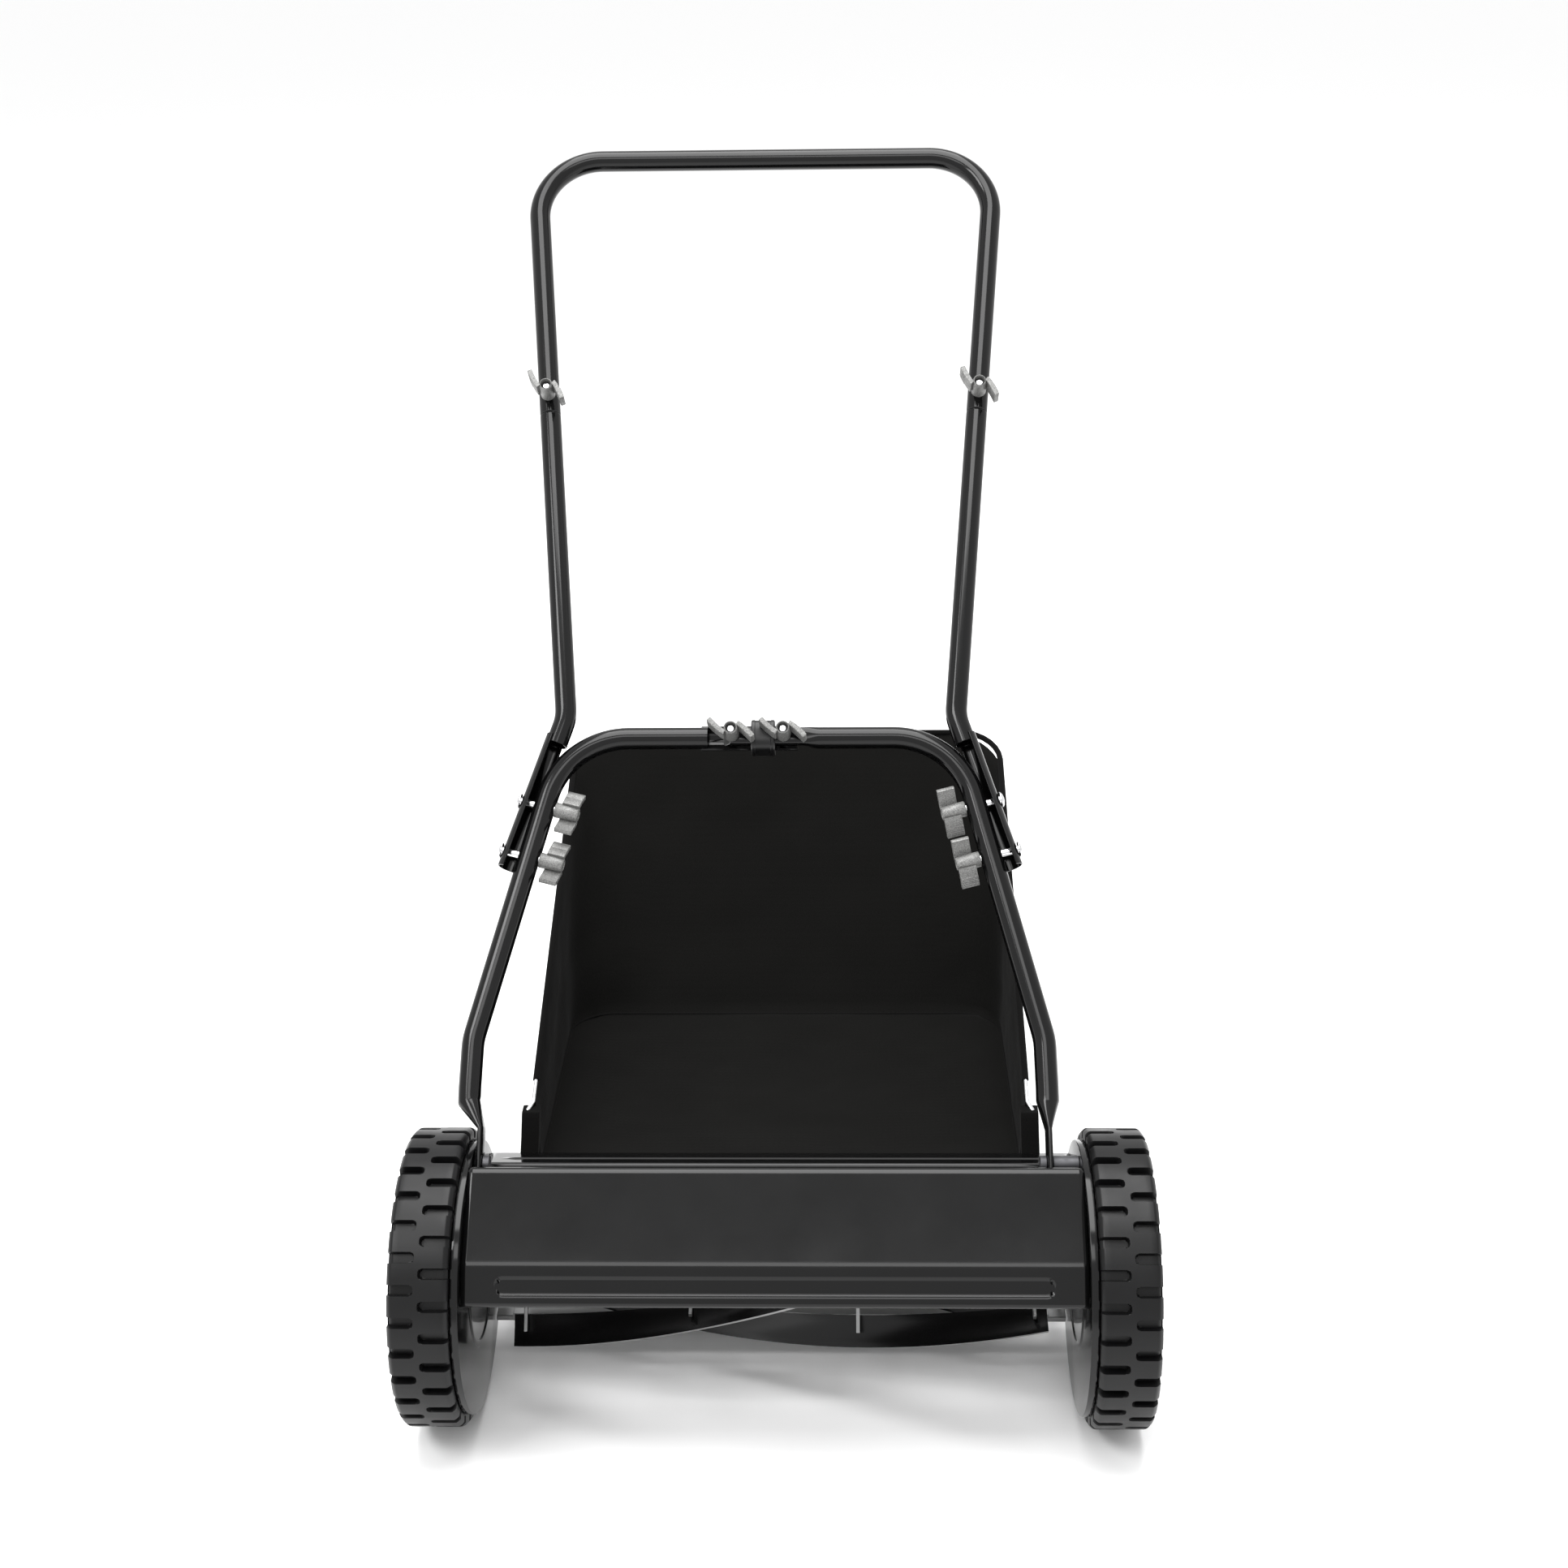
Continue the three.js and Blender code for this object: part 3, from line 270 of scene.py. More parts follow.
def rubber():
    made = Surface("rubber", (0.0028, 0.0028, 0.003), 0.33, Specular_IOR_Level=0.24)
    made.vary_color(made.noise(26, 4), 0.8, 1.25)
    made.vary_roughness(made.noise(45, 4), 0.32, 0.42)
    made.bump(made.noise(800, 3), 0.12, 0.06)
    return made.material


def moulded_plastic():
    made = Surface("black_plastic", (0.003, 0.003, 0.0032), 0.3, Specular_IOR_Level=0.32)
    made.vary_color(made.noise(14, 3), 0.85, 1.2)
    made.vary_roughness(made.noise(70, 3), 0.3, 0.4)
    made.bump(made.noise(1300, 2), 0.12, 0.05)
    return made.material


def dark_iron():
    made = Surface("gear_iron", (0.08, 0.08, 0.085), 0.5, metallic=0.85)
    made.vary_color(made.noise(40, 5), 0.7, 1.3)
    made.vary_roughness(made.noise(120, 4), 0.4, 0.62)
    made.bump(made.noise(700, 4), 0.2, 0.2)
    return made.material


def grey_steel():
    made = Surface("grey_steel", (0.27, 0.272, 0.272), 0.36, metallic=0.9)
    streaks = made.noise(60, 4, made.stretched((0.04, 8, 8)))
    made.vary_color(made.noise(20, 4), 0.88, 1.1)
    made.vary_roughness(streaks, 0.3, 0.46)
    made.bump(streaks, 0.12, 0.06)
    return made.material


def ground_edge():
    made = Surface("ground_edge", (0.2, 0.2, 0.2), 0.34, metallic=0.9)
    streaks = made.noise(200, 3, made.stretched((1, 9, 9)))
    made.vary_color(streaks, 0.8, 1.1)
    made.bump(streaks, 0.15, 0.05)
    return made.material


def bright_steel():
    made = Surface("chrome", (0.70, 0.70, 0.71), 0.16, metallic=1.0)
    made.vary_color(made.noise(50, 3), 0.9, 1.08)
    made.vary_roughness(made.noise(300, 3), 0.1, 0.26)
    made.bump(made.noise(800, 3), 0.08, 0.05)
    return made.material


def cast_alloy():
    made = Surface("cast_nut", (0.165, 0.165, 0.161), 0.5, metallic=0.35)
    speckle = made.noise(1100, 2)
    made.vary_color(speckle, 0.5, 1.45)
    made.vary_roughness(made.noise(300, 3), 0.4, 0.62)
    made.bump(speckle, 0.45, 0.22)
    made.bump(made.noise(160, 3), 0.15, 0.3)
    return made.material


def woven_cloth(name, color, thread_mm):
    """Plain weave: two crossed thread waves, with slack and dust at a larger scale."""
    made = Surface(name, color, 0.9, Specular_IOR_Level=0.08, Sheen_Weight=0.02, Sheen_Roughness=0.5)
    threads = []
    for direction in ("X", "Y", "Z"):
        wave = made.node("ShaderNodeTexWave", Scale=1 / (thread_mm * MM) / 20, Distortion=0.25)
        wave.bands_direction = direction
        made.link(made.place, wave.inputs["Vector"])
        threads.append(wave.outputs["Fac"])
    over = made.node("ShaderNodeMath")
    over.operation = "MAXIMUM"
    made.link(threads[0], over.inputs[0])
    made.link(threads[1], over.inputs[1])
    weave = made.node("ShaderNodeMath")
    weave.operation = "MAXIMUM"
    made.link(over.outputs[0], weave.inputs[0])
    made.link(threads[2], weave.inputs[1])
    made.vary_color(made.noise(12, 4), 0.88, 1.14)
    made.bump(made.noise(28, 4), 0.15, 0.8)
    made.bump(weave.outputs[0], 0.5, 0.16)
    return made.material


LOOKS = {
    "black_paint": gloss_paint("black_paint", 0.12),
    "blade_steel": gloss_paint("blade_paint", 0.24),
    "rubber": rubber(),
    "black_plastic": moulded_plastic(),
    "gear_iron": dark_iron(),
    "grey_steel": grey_steel(),
    "chrome": bright_steel(),
    "cast_nut": cast_alloy(),
    "cloth": woven_cloth("cloth", (0.0027, 0.0026, 0.0023), 0.9),
}
EDGE_LOOK = ground_edge()
TAPE_LOOK = woven_cloth("binding_tape", (0.0022, 0.0021, 0.002), 0.5)
THREAD = Surface("thread", (0.016, 0.016, 0.016), 0.6)
THREAD.bump(THREAD.noise(2500, 1, THREAD.stretched((1, 1, 3))), 0.3, 0.05)


# ------------------------------------------------------------------ mesh helpers
def piece(name, verts, faces, smooth_deg=35):
    """A new object from points and faces, with outward normals and sharp edges kept."""
    mesh = bpy.data.meshes.new(name)
    mesh.from_pydata([tuple(v) for v in verts], [], faces)
    work = bmesh.new()
    work.from_mesh(mesh)
    bmesh.ops.remove_doubles(work, verts=work.verts, dist=1e-6)
    bmesh.ops.recalc_face_normals(work, faces=work.faces)
    work.to_mesh(mesh)
    work.free()
    made = bpy.data.objects.new(name, mesh)
    bpy.context.scene.collection.objects.link(made)
    soften(made, smooth_deg)
    return made


def soften(made, smooth_deg=35):
    made.data.polygons.foreach_set("use_smooth", [True] * len(made.data.polygons))
    made.data.set_sharp_from_angle(angle=math.radians(smooth_deg))


def stand_for(made, *nodes, look=None):
    """made takes the place of these CAD nodes: it rides on their body and gets their slot's material."""
    slot = SLOT_OF[nodes[0]]
    made.data.materials.clear()
    made.data.materials.append(look or LOOKS[slot])
    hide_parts(*nodes)
    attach(made, BODY_OF[nodes[0]])
    return made


def add_to(made, node, look=None):
    """made is an extra piece on the body of this CAD node."""
    slot = SLOT_OF[node]
    made.data.materials.clear()
    made.data.materials.append(look or LOOKS[slot])
    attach(made, BODY_OF[node])
    return made


def loft(rings, closed=True, caps=True):
    """Points and faces of a skin over rings of equal length."""
    count = len(rings[0])
    verts = [point for ring in rings for point in ring]
    faces = []
    for i in range(len(rings) - 1):
        for k in range(count if closed else count - 1):
            a, b = i * count + k, i * count + (k + 1) % count
            faces.append((a, b, b + count, a + count))
    if caps:
        faces.append(tuple(reversed(range(count))))
        faces.append(tuple(range((len(rings) - 1) * count, len(rings) * count)))
    return verts, faces


def merge(*parts):
    verts, faces = [], []
    for part_verts, part_faces in parts:
        base = len(verts)
        verts.extend(part_verts)
        faces.extend(tuple(base + i for i in face) for face in part_faces)
    return verts, faces


def lathe(profile, y, z, count=96, phase=0.0):
    """A closed profile of (radius, x) turned about an axis along X."""
    rings = []
    for k in range(count):
        turn = phase + 2 * math.pi * k / count
        rings.append([at(x, y + r * math.cos(turn), z + r * math.sin(turn)) for r, x in profile])
    rings.append(rings[0])
    return loft(rings, closed=True, caps=False)


def rounded(profile, radius, steps=4):
    """Rounds the corners of a closed profile."""
    out = []
    for i, here in enumerate(profile):
        here = Vector(here)
        back = Vector(profile[i - 1]) - here
        ahead = Vector(profile[(i + 1) % len(profile)]) - here
        trim = min(radius, back.length * 0.45, ahead.length * 0.45)
        if trim < 0.02:
            out.append(tuple(here))
            continue
        start, end = here + back.normalized() * trim, here + ahead.normalized() * trim
        for k in range(steps + 1):
            t = k / steps
            out.append(tuple((1 - t) ** 2 * start + 2 * t * (1 - t) * here + t * t * end))
    return out


def bevel(made, width_mm, segments=2, angle_deg=32):
    cutter = made.modifiers.new("rounding", "BEVEL")
    cutter.width = width_mm * MM
    cutter.segments = segments
    cutter.limit_method = "ANGLE"
    cutter.angle_limit = math.radians(angle_deg)
    return made


def refined(node, width_mm, smooth_deg=35):
    """A copy of a CAD node with welded faces and rounded edges."""
    made = bpy.data.objects.new(node + "_fine", frame["nodes"][node].data.copy())
    bpy.context.scene.collection.objects.link(made)
    work = bmesh.new()
    work.from_mesh(made.data)
    bmesh.ops.remove_doubles(work, verts=work.verts, dist=1e-6)
    bmesh.ops.dissolve_limit(work, angle_limit=math.radians(1), verts=work.verts, edges=work.edges)
    work.to_mesh(made.data)
    work.free()
    for name in [a.name for a in made.data.attributes if a.name == "custom_normal"]:
        made.data.attributes.remove(made.data.attributes[name])
    soften(made, smooth_deg)
    bevel(made, width_mm)
    return stand_for(made, node)


# ------------------------------------------------------------------ handle tubes
def bent_path(corners, radius):
    """A polyline of (x, s) with each inner corner turned into an arc."""
    path = [Vector(corners[0])]
    for i in range(1, len(corners) - 1):
        here = Vector(corners[i])
        back = (Vector(corners[i - 1]) - here).normalized()
        ahead = (Vector(corners[i + 1]) - here).normalized()
        half = math.acos(max(-1, min(1, back.dot(ahead)))) / 2
        bend_r = radius[i - 1]
        centre = here + (back + ahead).normalized() * bend_r / math.sin(half)
        start = here + back * bend_r / math.tan(half) - centre
        end = here + ahead * bend_r / math.tan(half) - centre
        sweep = math.atan2(start.x * end.y - start.y * end.x, start.dot(end))
        steps = max(3, round(abs(sweep) / BEND_STEP))
        for k in range(steps + 1):
            turn = sweep * k / steps
            cos, sin = math.cos(turn), math.sin(turn)
            path.append(centre + Vector((start.x * cos - start.y * sin, start.x * sin + start.y * cos)))
    path.append(Vector(corners[-1]))
    return path


def handle_rings(path, section_at):
    """Rings of section_at(i), a list of (across, up), along a path on the handle's plane."""
    rings = []
    for i, here in enumerate(path):
        back, ahead = path[max(i - 1, 0)], path[min(i + 1, len(path) - 1)]
        into = (here - back).normalized() if i else (ahead - here).normalized()
        out = (ahead - here).normalized() if i + 1 < len(path) else into
        tangent = (into + out).normalized()
        side = Vector((-tangent.y, tangent.x))
        rings.append([
            on_handle(here.x + side.x * across, here.y + side.y * across, up)
            for across, up in section_at(i)
        ])
    return rings


def sweep_handle(path, section_at):
    return loft(handle_rings(path, section_at))


def hollow(end, inward):
    """Rings of a tube's bore, from its bottom out to the open end."""
    bore = oval(TUBE_R - TUBE_WALL, TUBE_R - TUBE_WALL)
    return handle_rings([end, end + inward * BORE_DEEP], lambda i: bore)[::-1]


def oval(wide, tall, lift=0.0, power=2.0, count=TUBE_SIDES):
    """A superellipse: power 2 is an ellipse, and a higher power squares it off."""
    out = []
    for k in range(count):
        turn = 2 * math.pi * (k + 0.5) / count
        cos, sin = math.cos(turn), math.sin(turn)
        across = wide * math.copysign(abs(cos) ** (2 / power), cos)
        up = tall * math.copysign(abs(sin) ** (2 / power), sin)
        out.append((across, up + lift))
    return out


def half_shell(centre_deg, radius, wall, front=90, back=90, count=24):
    """The section of a half tube open away from centre_deg; its lips reach front and back degrees."""
    reach = (front, back) if centre_deg else (back, front)
    turns = [math.radians(centre_deg - reach[0] + sum(reach) * k / count) for k in range(count + 1)]
    outer = [(radius * math.cos(a), radius * math.sin(a)) for a in turns]
    inner = [((radius - wall) * math.cos(a), (radius - wall) * math.sin(a)) for a in turns]
    return outer + inner[::-1]


def side_tube_x(s):
    return lerp(MIDDLE_BEND_X, UPPER_TOP_X, (s - MIDDLE_BEND_S) / (UPPER_TOP_S - MIDDLE_BEND_S))


def lower_tube_x(s):
    return lerp(LOWER_BEND_X, LOWER_TOP_X, (s - LOWER_BEND_S) / (LOWER_BAR_S - LOWER_BEND_S))


def channel_x(s):
    share = (s - CHANNEL_END_S) / (MIDDLE_BEND_S - CHANNEL_END_S)
    return lerp(CHANNEL_END_X, MIDDLE_BEND_X, share)


LOWER_SLOPE = math.atan2(LOWER_BEND_X - LOWER_TOP_X, LOWER_BAR_S - LOWER_BEND_S)


def outboard(side):
    return (side * math.cos(LOWER_SLOPE) * ACROSS + math.sin(LOWER_SLOPE) * ALONG).normalized()


def make_upper_handle():
    foot_x = side_tube_x(SEAM_S)
    lip = 0.9
    path = bent_path([
        (-foot_x, SEAM_S), (-UPPER_TOP_X, UPPER_TOP_S), (UPPER_TOP_X, UPPER_TOP_S), (foot_x, SEAM_S),
    ], (60, 60))
    path.insert(1, path[0] + (path[1] - path[0]).normalized() * lip)
    path.insert(-1, path[-1] + (path[-2] - path[-1]).normalized() * lip)
    last = len(path) - 1
    tube = sweep_handle(path, lambda i: oval(*(2 * [TUBE_R - 0.7 if i in (0, last) else TUBE_R])))
    stand_for(piece("upper_handle_tube", *tube), "upper_handle")


def make_middle_handle(word, side):
    low_s = MIDDLE_BEND_S - 26
    top = (side_tube_x(SEAM_S - 0.3), SEAM_S - 0.3)
    corners = [(channel_x(low_s), low_s), (MIDDLE_BEND_X, MIDDLE_BEND_S), top]
    path = [Vector((side * p.x, p.y)) for p in bent_path(corners, (45,))]
    neck = Vector((side * side_tube_x(SEAM_S + 40), SEAM_S + 40))
    up = (path[-1] - path[-2]).normalized()
    path = path[:-1] + [path[-1] - up * 0.9, path[-1], path[-1] + up * 0.05, neck]
    last = len(path) - 1
    radii = {last - 2: TUBE_R - 0.7, last - 1: TUBE_R - 2, last: TUBE_R - 2}
    tube = loft(hollow(path[0], (path[1] - path[0]).normalized())
                + handle_rings(path, lambda i: oval(*(2 * [radii.get(i, TUBE_R)]))))
    start, end = Vector((side * channel_x(CHANNEL_END_S), CHANNEL_END_S)), path[0] + (path[1] - path[0]) * 0.4
    steps = 10
    channel_path = [start.lerp(end, k / steps) for k in range(steps + 1)]
    outward = 0 if side < 0 else 180
    section = half_shell(outward, CHANNEL_R, CHANNEL_WALL, *CHANNEL_LIPS)
    channel = sweep_handle(channel_path, lambda i: section)
    made = piece(f"middle_handle_{word}_tube", *merge(tube, channel))
    stand_for(bevel(made, 0.35), f"middle_handle_{word}")


def foot_section(s):
    """Round tube pressed flat towards the pivot, over a short taper with sharp creases."""
    flat = 1 - min(max((s - PINCH_S[0]) / (PINCH_S[1] - PINCH_S[0]), 0), 1)
    return oval(lerp(TUBE_R, FOOT_THIN, flat), lerp(TUBE_R, FOOT_WIDE, flat), power=lerp(2, 3.6, flat))


def foot_path(side):
    """The foot's stations: the left one steps inboard, to lie inside its side plate."""
    foot_x = LEFT_FOOT_X - HANDLE_SHIFT_X if side < 0 else LEG_X
    tube_x = side * LEG_X
    pinch = [PINCH_S[0] + step for step in (0, 0.6, 4, 8, 12, 16, 20, 23.4)]
    stations = [-9, -7, 0, 10, 20, *pinch, PINCH_S[1], 58, 66]
    return [Vector((lerp(foot_x, tube_x, min(max((s - 30) / 24, 0), 1)), s)) for s in stations]


def lower_route(side, end_x):
    bend = bent_path([
        (side * LEG_X, 74), (side * LOWER_BEND_X, LOWER_BEND_S),
        (side * LOWER_TOP_X, LOWER_BAR_S), (end_x, LOWER_BAR_S),
    ], (60, 75))
    return foot_path(side) + bend[1:]


def make_lower_handle_left():
    route = lower_route(-1, TROUGH_FROM_X)

    def left_section(i):
        return foot_section(route[i].y) if route[i].y < FOOT_TOP_S else oval(TUBE_R, TUBE_R)

    tube = loft(handle_rings(route, left_section) + hollow(route[-1], Vector((-1, 0)))[::-1])
    steps = 8
    start, end = Vector((TROUGH_FROM_X - 6, LOWER_BAR_S)), Vector((TROUGH_TO_X, LOWER_BAR_S))
    trough_path = [start.lerp(end, k / steps) for k in range(steps + 1)]
    trough = sweep_handle(trough_path, lambda i: half_shell(-90, CHANNEL_R, CHANNEL_WALL))
    made = piece("lower_handle_left_tube", *merge(tube, trough))
    stand_for(bevel(made, 0.35), "lower_handle_left")


def make_lower_handle_right():
    taper_to, taper_from = 38, 54
    route = lower_route(1, taper_from)
    flat_end = TROUGH_FROM_X + 14
    route += [Vector((lerp(taper_from, taper_to, k / 6), LOWER_BAR_S)) for k in range(1, 7)]
    route += [Vector((x, LOWER_BAR_S)) for x in (20, 0, flat_end)]

    def section(i):
        here = route[i]
        if here.y < FOOT_TOP_S:
            return foot_section(here.y)
        flat = smooth((taper_from - here.x) / (taper_from - taper_to))
        wide, tall = lerp(TUBE_R, 8.2, flat), lerp(TUBE_R, FLAT_TALL, flat)
        return oval(wide, tall, FLAT_LIFT * flat, lerp(2, 3.4, flat))

    rings = handle_rings(route, section)
    low = min(point.dot(RAISED) for point in rings[-1])
    rings[-1] = [point + ACROSS * MITRE * (point.dot(RAISED) - low) for point in rings[-1]]
    made = piece("lower_handle_right_tube", *loft(rings))
    stand_for(bevel(made, 0.4, angle_deg=50), "lower_handle_right")
    made.data.materials.append(LOOKS["grey_steel"])
    cut, low = on_handle(flat_end + 10, 0).x, on_handle(0, LOWER_BAR_S - 20).z
    for face in made.data.polygons:
        if face.center.x < cut and face.center.z > low and face.normal.x < -0.5:
            face.material_index = 1


def make_clip():
    """A moulded block round the bar, with a shallow step near each end."""
    stations = [(0, -1.0), (0.9, 0), (3.4, 0), (3.8, -0.35)]
    length = CLIP_TO_X - CLIP_FROM_X
    stations += [(length - at_end, grow) for at_end, grow in reversed(stations)]
    path = [Vector((CLIP_FROM_X + step, LOWER_BAR_S)) for step, _ in stations]
    radii = [CLIP_R + grow for _, grow in stations]
    made = piece("handle_clip_block", *sweep_handle(path, lambda i: oval(radii[i], radii[i], power=3.2)))
    stand_for(made, "handle_clip")


# ------------------------------------------------------------------ bolts and wing nuts
def basis(origin, axis, facing):
    z = axis.normalized()
    x = (facing - z * facing.dot(z)).normalized()
    y = z.cross(x)
    return lambda a, b, c: origin + (a * x + b * y + c * z) * MM


def turned_on(place, profile, count=32):
    """An open profile of (radius, height) turned about the basis' own axis."""
    rings = []
    for radius, height in profile:
        turns = [2 * math.pi * k / count for k in range(count)]
        rings.append([place(radius * math.cos(a), radius * math.sin(a), height) for a in turns])
    return loft(rings)


def wing(place, flip):
    """One wing: a curved blade from beside the boss to its tip, with finger ribs near the tip."""
    root, knee, end = (Vector(p) for p in (WING_ROOT, WING_KNEE, WING_TIP))
    rings = []
    steps = 60
    for k in range(steps + 1):
        t = k / steps
        a, b = root.lerp(knee, t).lerp(knee.lerp(end, t), t)
        run = (knee - root).lerp(end - knee, t).normalized()
        na, nb = -run.y, run.x
        along = min(max((t - RIB_FROM) / (RIB_TO - RIB_FROM), 0), 1)
        rib = RIB_RISE * math.sin(math.pi * RIB_COUNT * along) ** 2
        tip = 0.8 if k == steps else 0
        thick = WING_T / 2 - tip
        low, high = WING_LOW + tip, NUT_TALL - 0.3 - tip
        section = rounded([(-thick, low), (thick + rib, low), (thick + rib, high), (-thick, high)], 0.7, 3)
        rings.append([place(flip * (a + na * w), flip * (b + nb * w), h) for w, h in section])
    return loft(rings)


def make_wing_nut(name, x, s, axis, facing, lift):
    origin = on_handle(x, s) + axis * lift * MM
    place = basis(origin, axis, facing)
    boss = turned_on(place, [
        (BOLT_R, 0), (6.4, 0), (7, 0.6), (6.8, 12), (6.2, 20.6), (5.7, 21.6), (5.1, 21.9),
        (4.9, 21.4), (4.8, 14), (BOLT_R + 0.2, 13.5),
    ])
    verts, faces = merge(boss, wing(place, 1), wing(place, -1))
    made = piece(name + "_cast", verts, faces, smooth_deg=48)
    stand_for(made, name)


def make_bolt(name, x, s, axis, head_at, tip_at=28.0):
    """A carriage bolt: domed head, plain shank, then ridged thread to a chamfered tip."""
    place = basis(on_handle(x, s), axis, ALONG)
    dome = [(0.01, head_at - 3.2), (2.4, head_at - 3.05), (4.6, head_at - 2.5), (6.2, head_at - 1.6),
            (7, head_at - 0.5), (6.9, head_at)]
    shank = [(BOLT_R, head_at), (BOLT_R, 12)]
    pitch = 1.25
    count = int((tip_at - 13) / pitch)
    thread = []
    for k in range(count):
        thread += [(BOLT_R - 0.45, 12.2 + k * pitch), (BOLT_R, 12.2 + (k + 0.5) * pitch)]
    tip = [(BOLT_R - 0.8, tip_at - 0.3), (0.01, tip_at)]
    made = piece(name + "_turned", *turned_on(place, dome + shank + thread + tip), smooth_deg=40)
    stand_for(made, name)


def nut_facing(degrees):
    turn = math.radians(degrees)
    return math.cos(turn) * ACROSS - math.sin(turn) * ALONG


def make_fasteners():
    gap = 0.3
    for word, side in SIDES:
        upper_x = side * side_tube_x(UPPER_NUT_S)
        make_bolt(f"upper_bolt_{word}", upper_x, UPPER_NUT_S, RAISED, -TUBE_R - gap)
        make_wing_nut(f"upper_wing_nut_{word}", upper_x, UPPER_NUT_S, RAISED, nut_facing(20), TUBE_R + gap)
        inboard = -outboard(side)
        for level, s in zip(("top", "bottom"), CHANNEL_BOLT_S):
            x = side * lower_tube_x(s)
            offset = (channel_x(s) - lower_tube_x(s)) * math.cos(LOWER_SLOPE)
            make_bolt(f"lower_bolt_{word}_{level}", x, s, inboard, -offset - CHANNEL_R - 3 * gap)
            make_wing_nut(f"lower_wing_nut_{word}_{level}", x, s, inboard, ALONG, TUBE_R + gap)
        centre_x = CENTRE_NUT_X[0 if side < 0 else 1]
        make_bolt(f"centre_bolt_{word}", centre_x, LOWER_BAR_S, RAISED, -CHANNEL_R - gap)
        make_wing_nut(f"centre_wing_nut_{word}", centre_x, LOWER_BAR_S, RAISED, nut_facing(0),
                      FLAT_LIFT + FLAT_TALL + gap)


# ------------------------------------------------------------------ wheels
def tread_radius(x, along):
    """Tyre radius at x, and along in mm round the tread: deep slots, staggered in two rows."""
    outer = x > TREAD_MIDDLE
    offset = (along / TREAD_PITCH + (0 if outer else 0.5) + 0.5) % 1 - 0.5
    inner_end = TREAD_MIDDLE + (1.6 + GROOVE_R if outer else -1.6 - GROOVE_R)
    past = max(0, inner_end - x) if outer else max(0, x - inner_end)
    reach = math.hypot(offset * TREAD_PITCH, past)
    groove = 1 - smooth((reach - GROOVE_R + GROOVE_WALL) / GROOVE_WALL)
    edge = min(x - WHEEL_IN_X, WHEEL_OUT_X - x)
    shoulder = 3.6 * (1 - min(1, edge / 4.5)) ** 1.8
    return WHEEL_R - shoulder - TREAD_DEPTH * groove


def tread_stations():
    """Stations round one pitch and across the tread, closest together at the slots' walls."""
    wall = [GROOVE_R + d for d in (0.25, 0, -0.2, -0.4, -0.6, -0.8, -1.05)]
    half = wall + [2.4, 1.0]
    slot = [-d for d in half] + [d for d in reversed(half)]
    round_pitch = slot + [TREAD_PITCH / 2 + d for d in slot]
    ends = [1.6 + d for d in (-0.25, 0, 0.2, 0.4, 0.6, 0.8, 1.05, 1.6, 2.2, 3.0, 3.8, 4.7, 6.5)]
    across = [0, 0.5, 1.1, 1.8, 2.7, 3.6, 4.6, 9, 14]
    stations = [WHEEL_IN_X + d for d in across] + [TREAD_MIDDLE - d for d in reversed(ends)]
    stations += [TREAD_MIDDLE + d for d in ends] + [WHEEL_OUT_X - d for d in reversed(across)]
    return round_pitch, stations


def make_tyre(word, side):
    round_pitch, stations = tread_stations()
    wall_out = [(118, WHEEL_OUT_X), (116.6, WHEEL_OUT_X - 0.8), (114.6, WHEEL_OUT_X - 0.8)]
    wall_in = [(TYRE_IN_R + 0.5, WHEEL_IN_X + 0.3), (118, WHEEL_IN_X)]
    bead = [(TYRE_IN_R + 0.5, WHEEL_OUT_X - 0.3), (TYRE_IN_R, WHEEL_OUT_X - 1.5),
            (TYRE_IN_R, WHEEL_IN_X + 1.5)]
    rings = []
    for along in (lug * TREAD_PITCH + step for lug in range(TREAD_LUGS) for step in round_pitch):
        turn = along / WHEEL_R - math.pi / 2
        cos, sin = math.cos(turn), math.sin(turn)
        section = [(tread_radius(x, along), x) for x in stations] + wall_out + bead + wall_in
        rings.append([at(side * x, r * cos, WHEEL_R + r * sin) for r, x in section])
    rings.append(rings[0])
    made = piece(f"tyre_{word}_tread", *loft(rings, caps=False), smooth_deg=38)
    stand_for(made, f"tyre_{word}")


def spoke_rib(turn, side, r0, r1, x0, x1, half_wide):
    corners = []
    for x in (x0, x1):
        for r, w in ((r0, half_wide), (r1, half_wide * 0.75), (r1, -half_wide * 0.75), (r0, -half_wide)):
            y = r * math.cos(turn) - w * math.sin(turn)
            z = r * math.sin(turn) + w * math.cos(turn)
            corners.append(at(side * x, y, WHEEL_R + z))
    faces = [(0, 1, 2, 3), (7, 6, 5, 4)] + [(i, (i + 1) % 4, (i + 1) % 4 + 4, i + 4) for i in range(4)]
    return corners, faces


def tooth_ring(teeth, tip_r, root_r, phase, y, z, x):
    pitch = 2 * math.pi / teeth
    out = []
    for i in range(teeth):
        for share, radius in ((-0.24, root_r), (-0.12, tip_r), (0.12, tip_r), (0.24, root_r)):
            turn = phase + (i + share) * pitch
            out.append(at(x, y + radius * math.cos(turn), z + radius * math.sin(turn)))
    return out


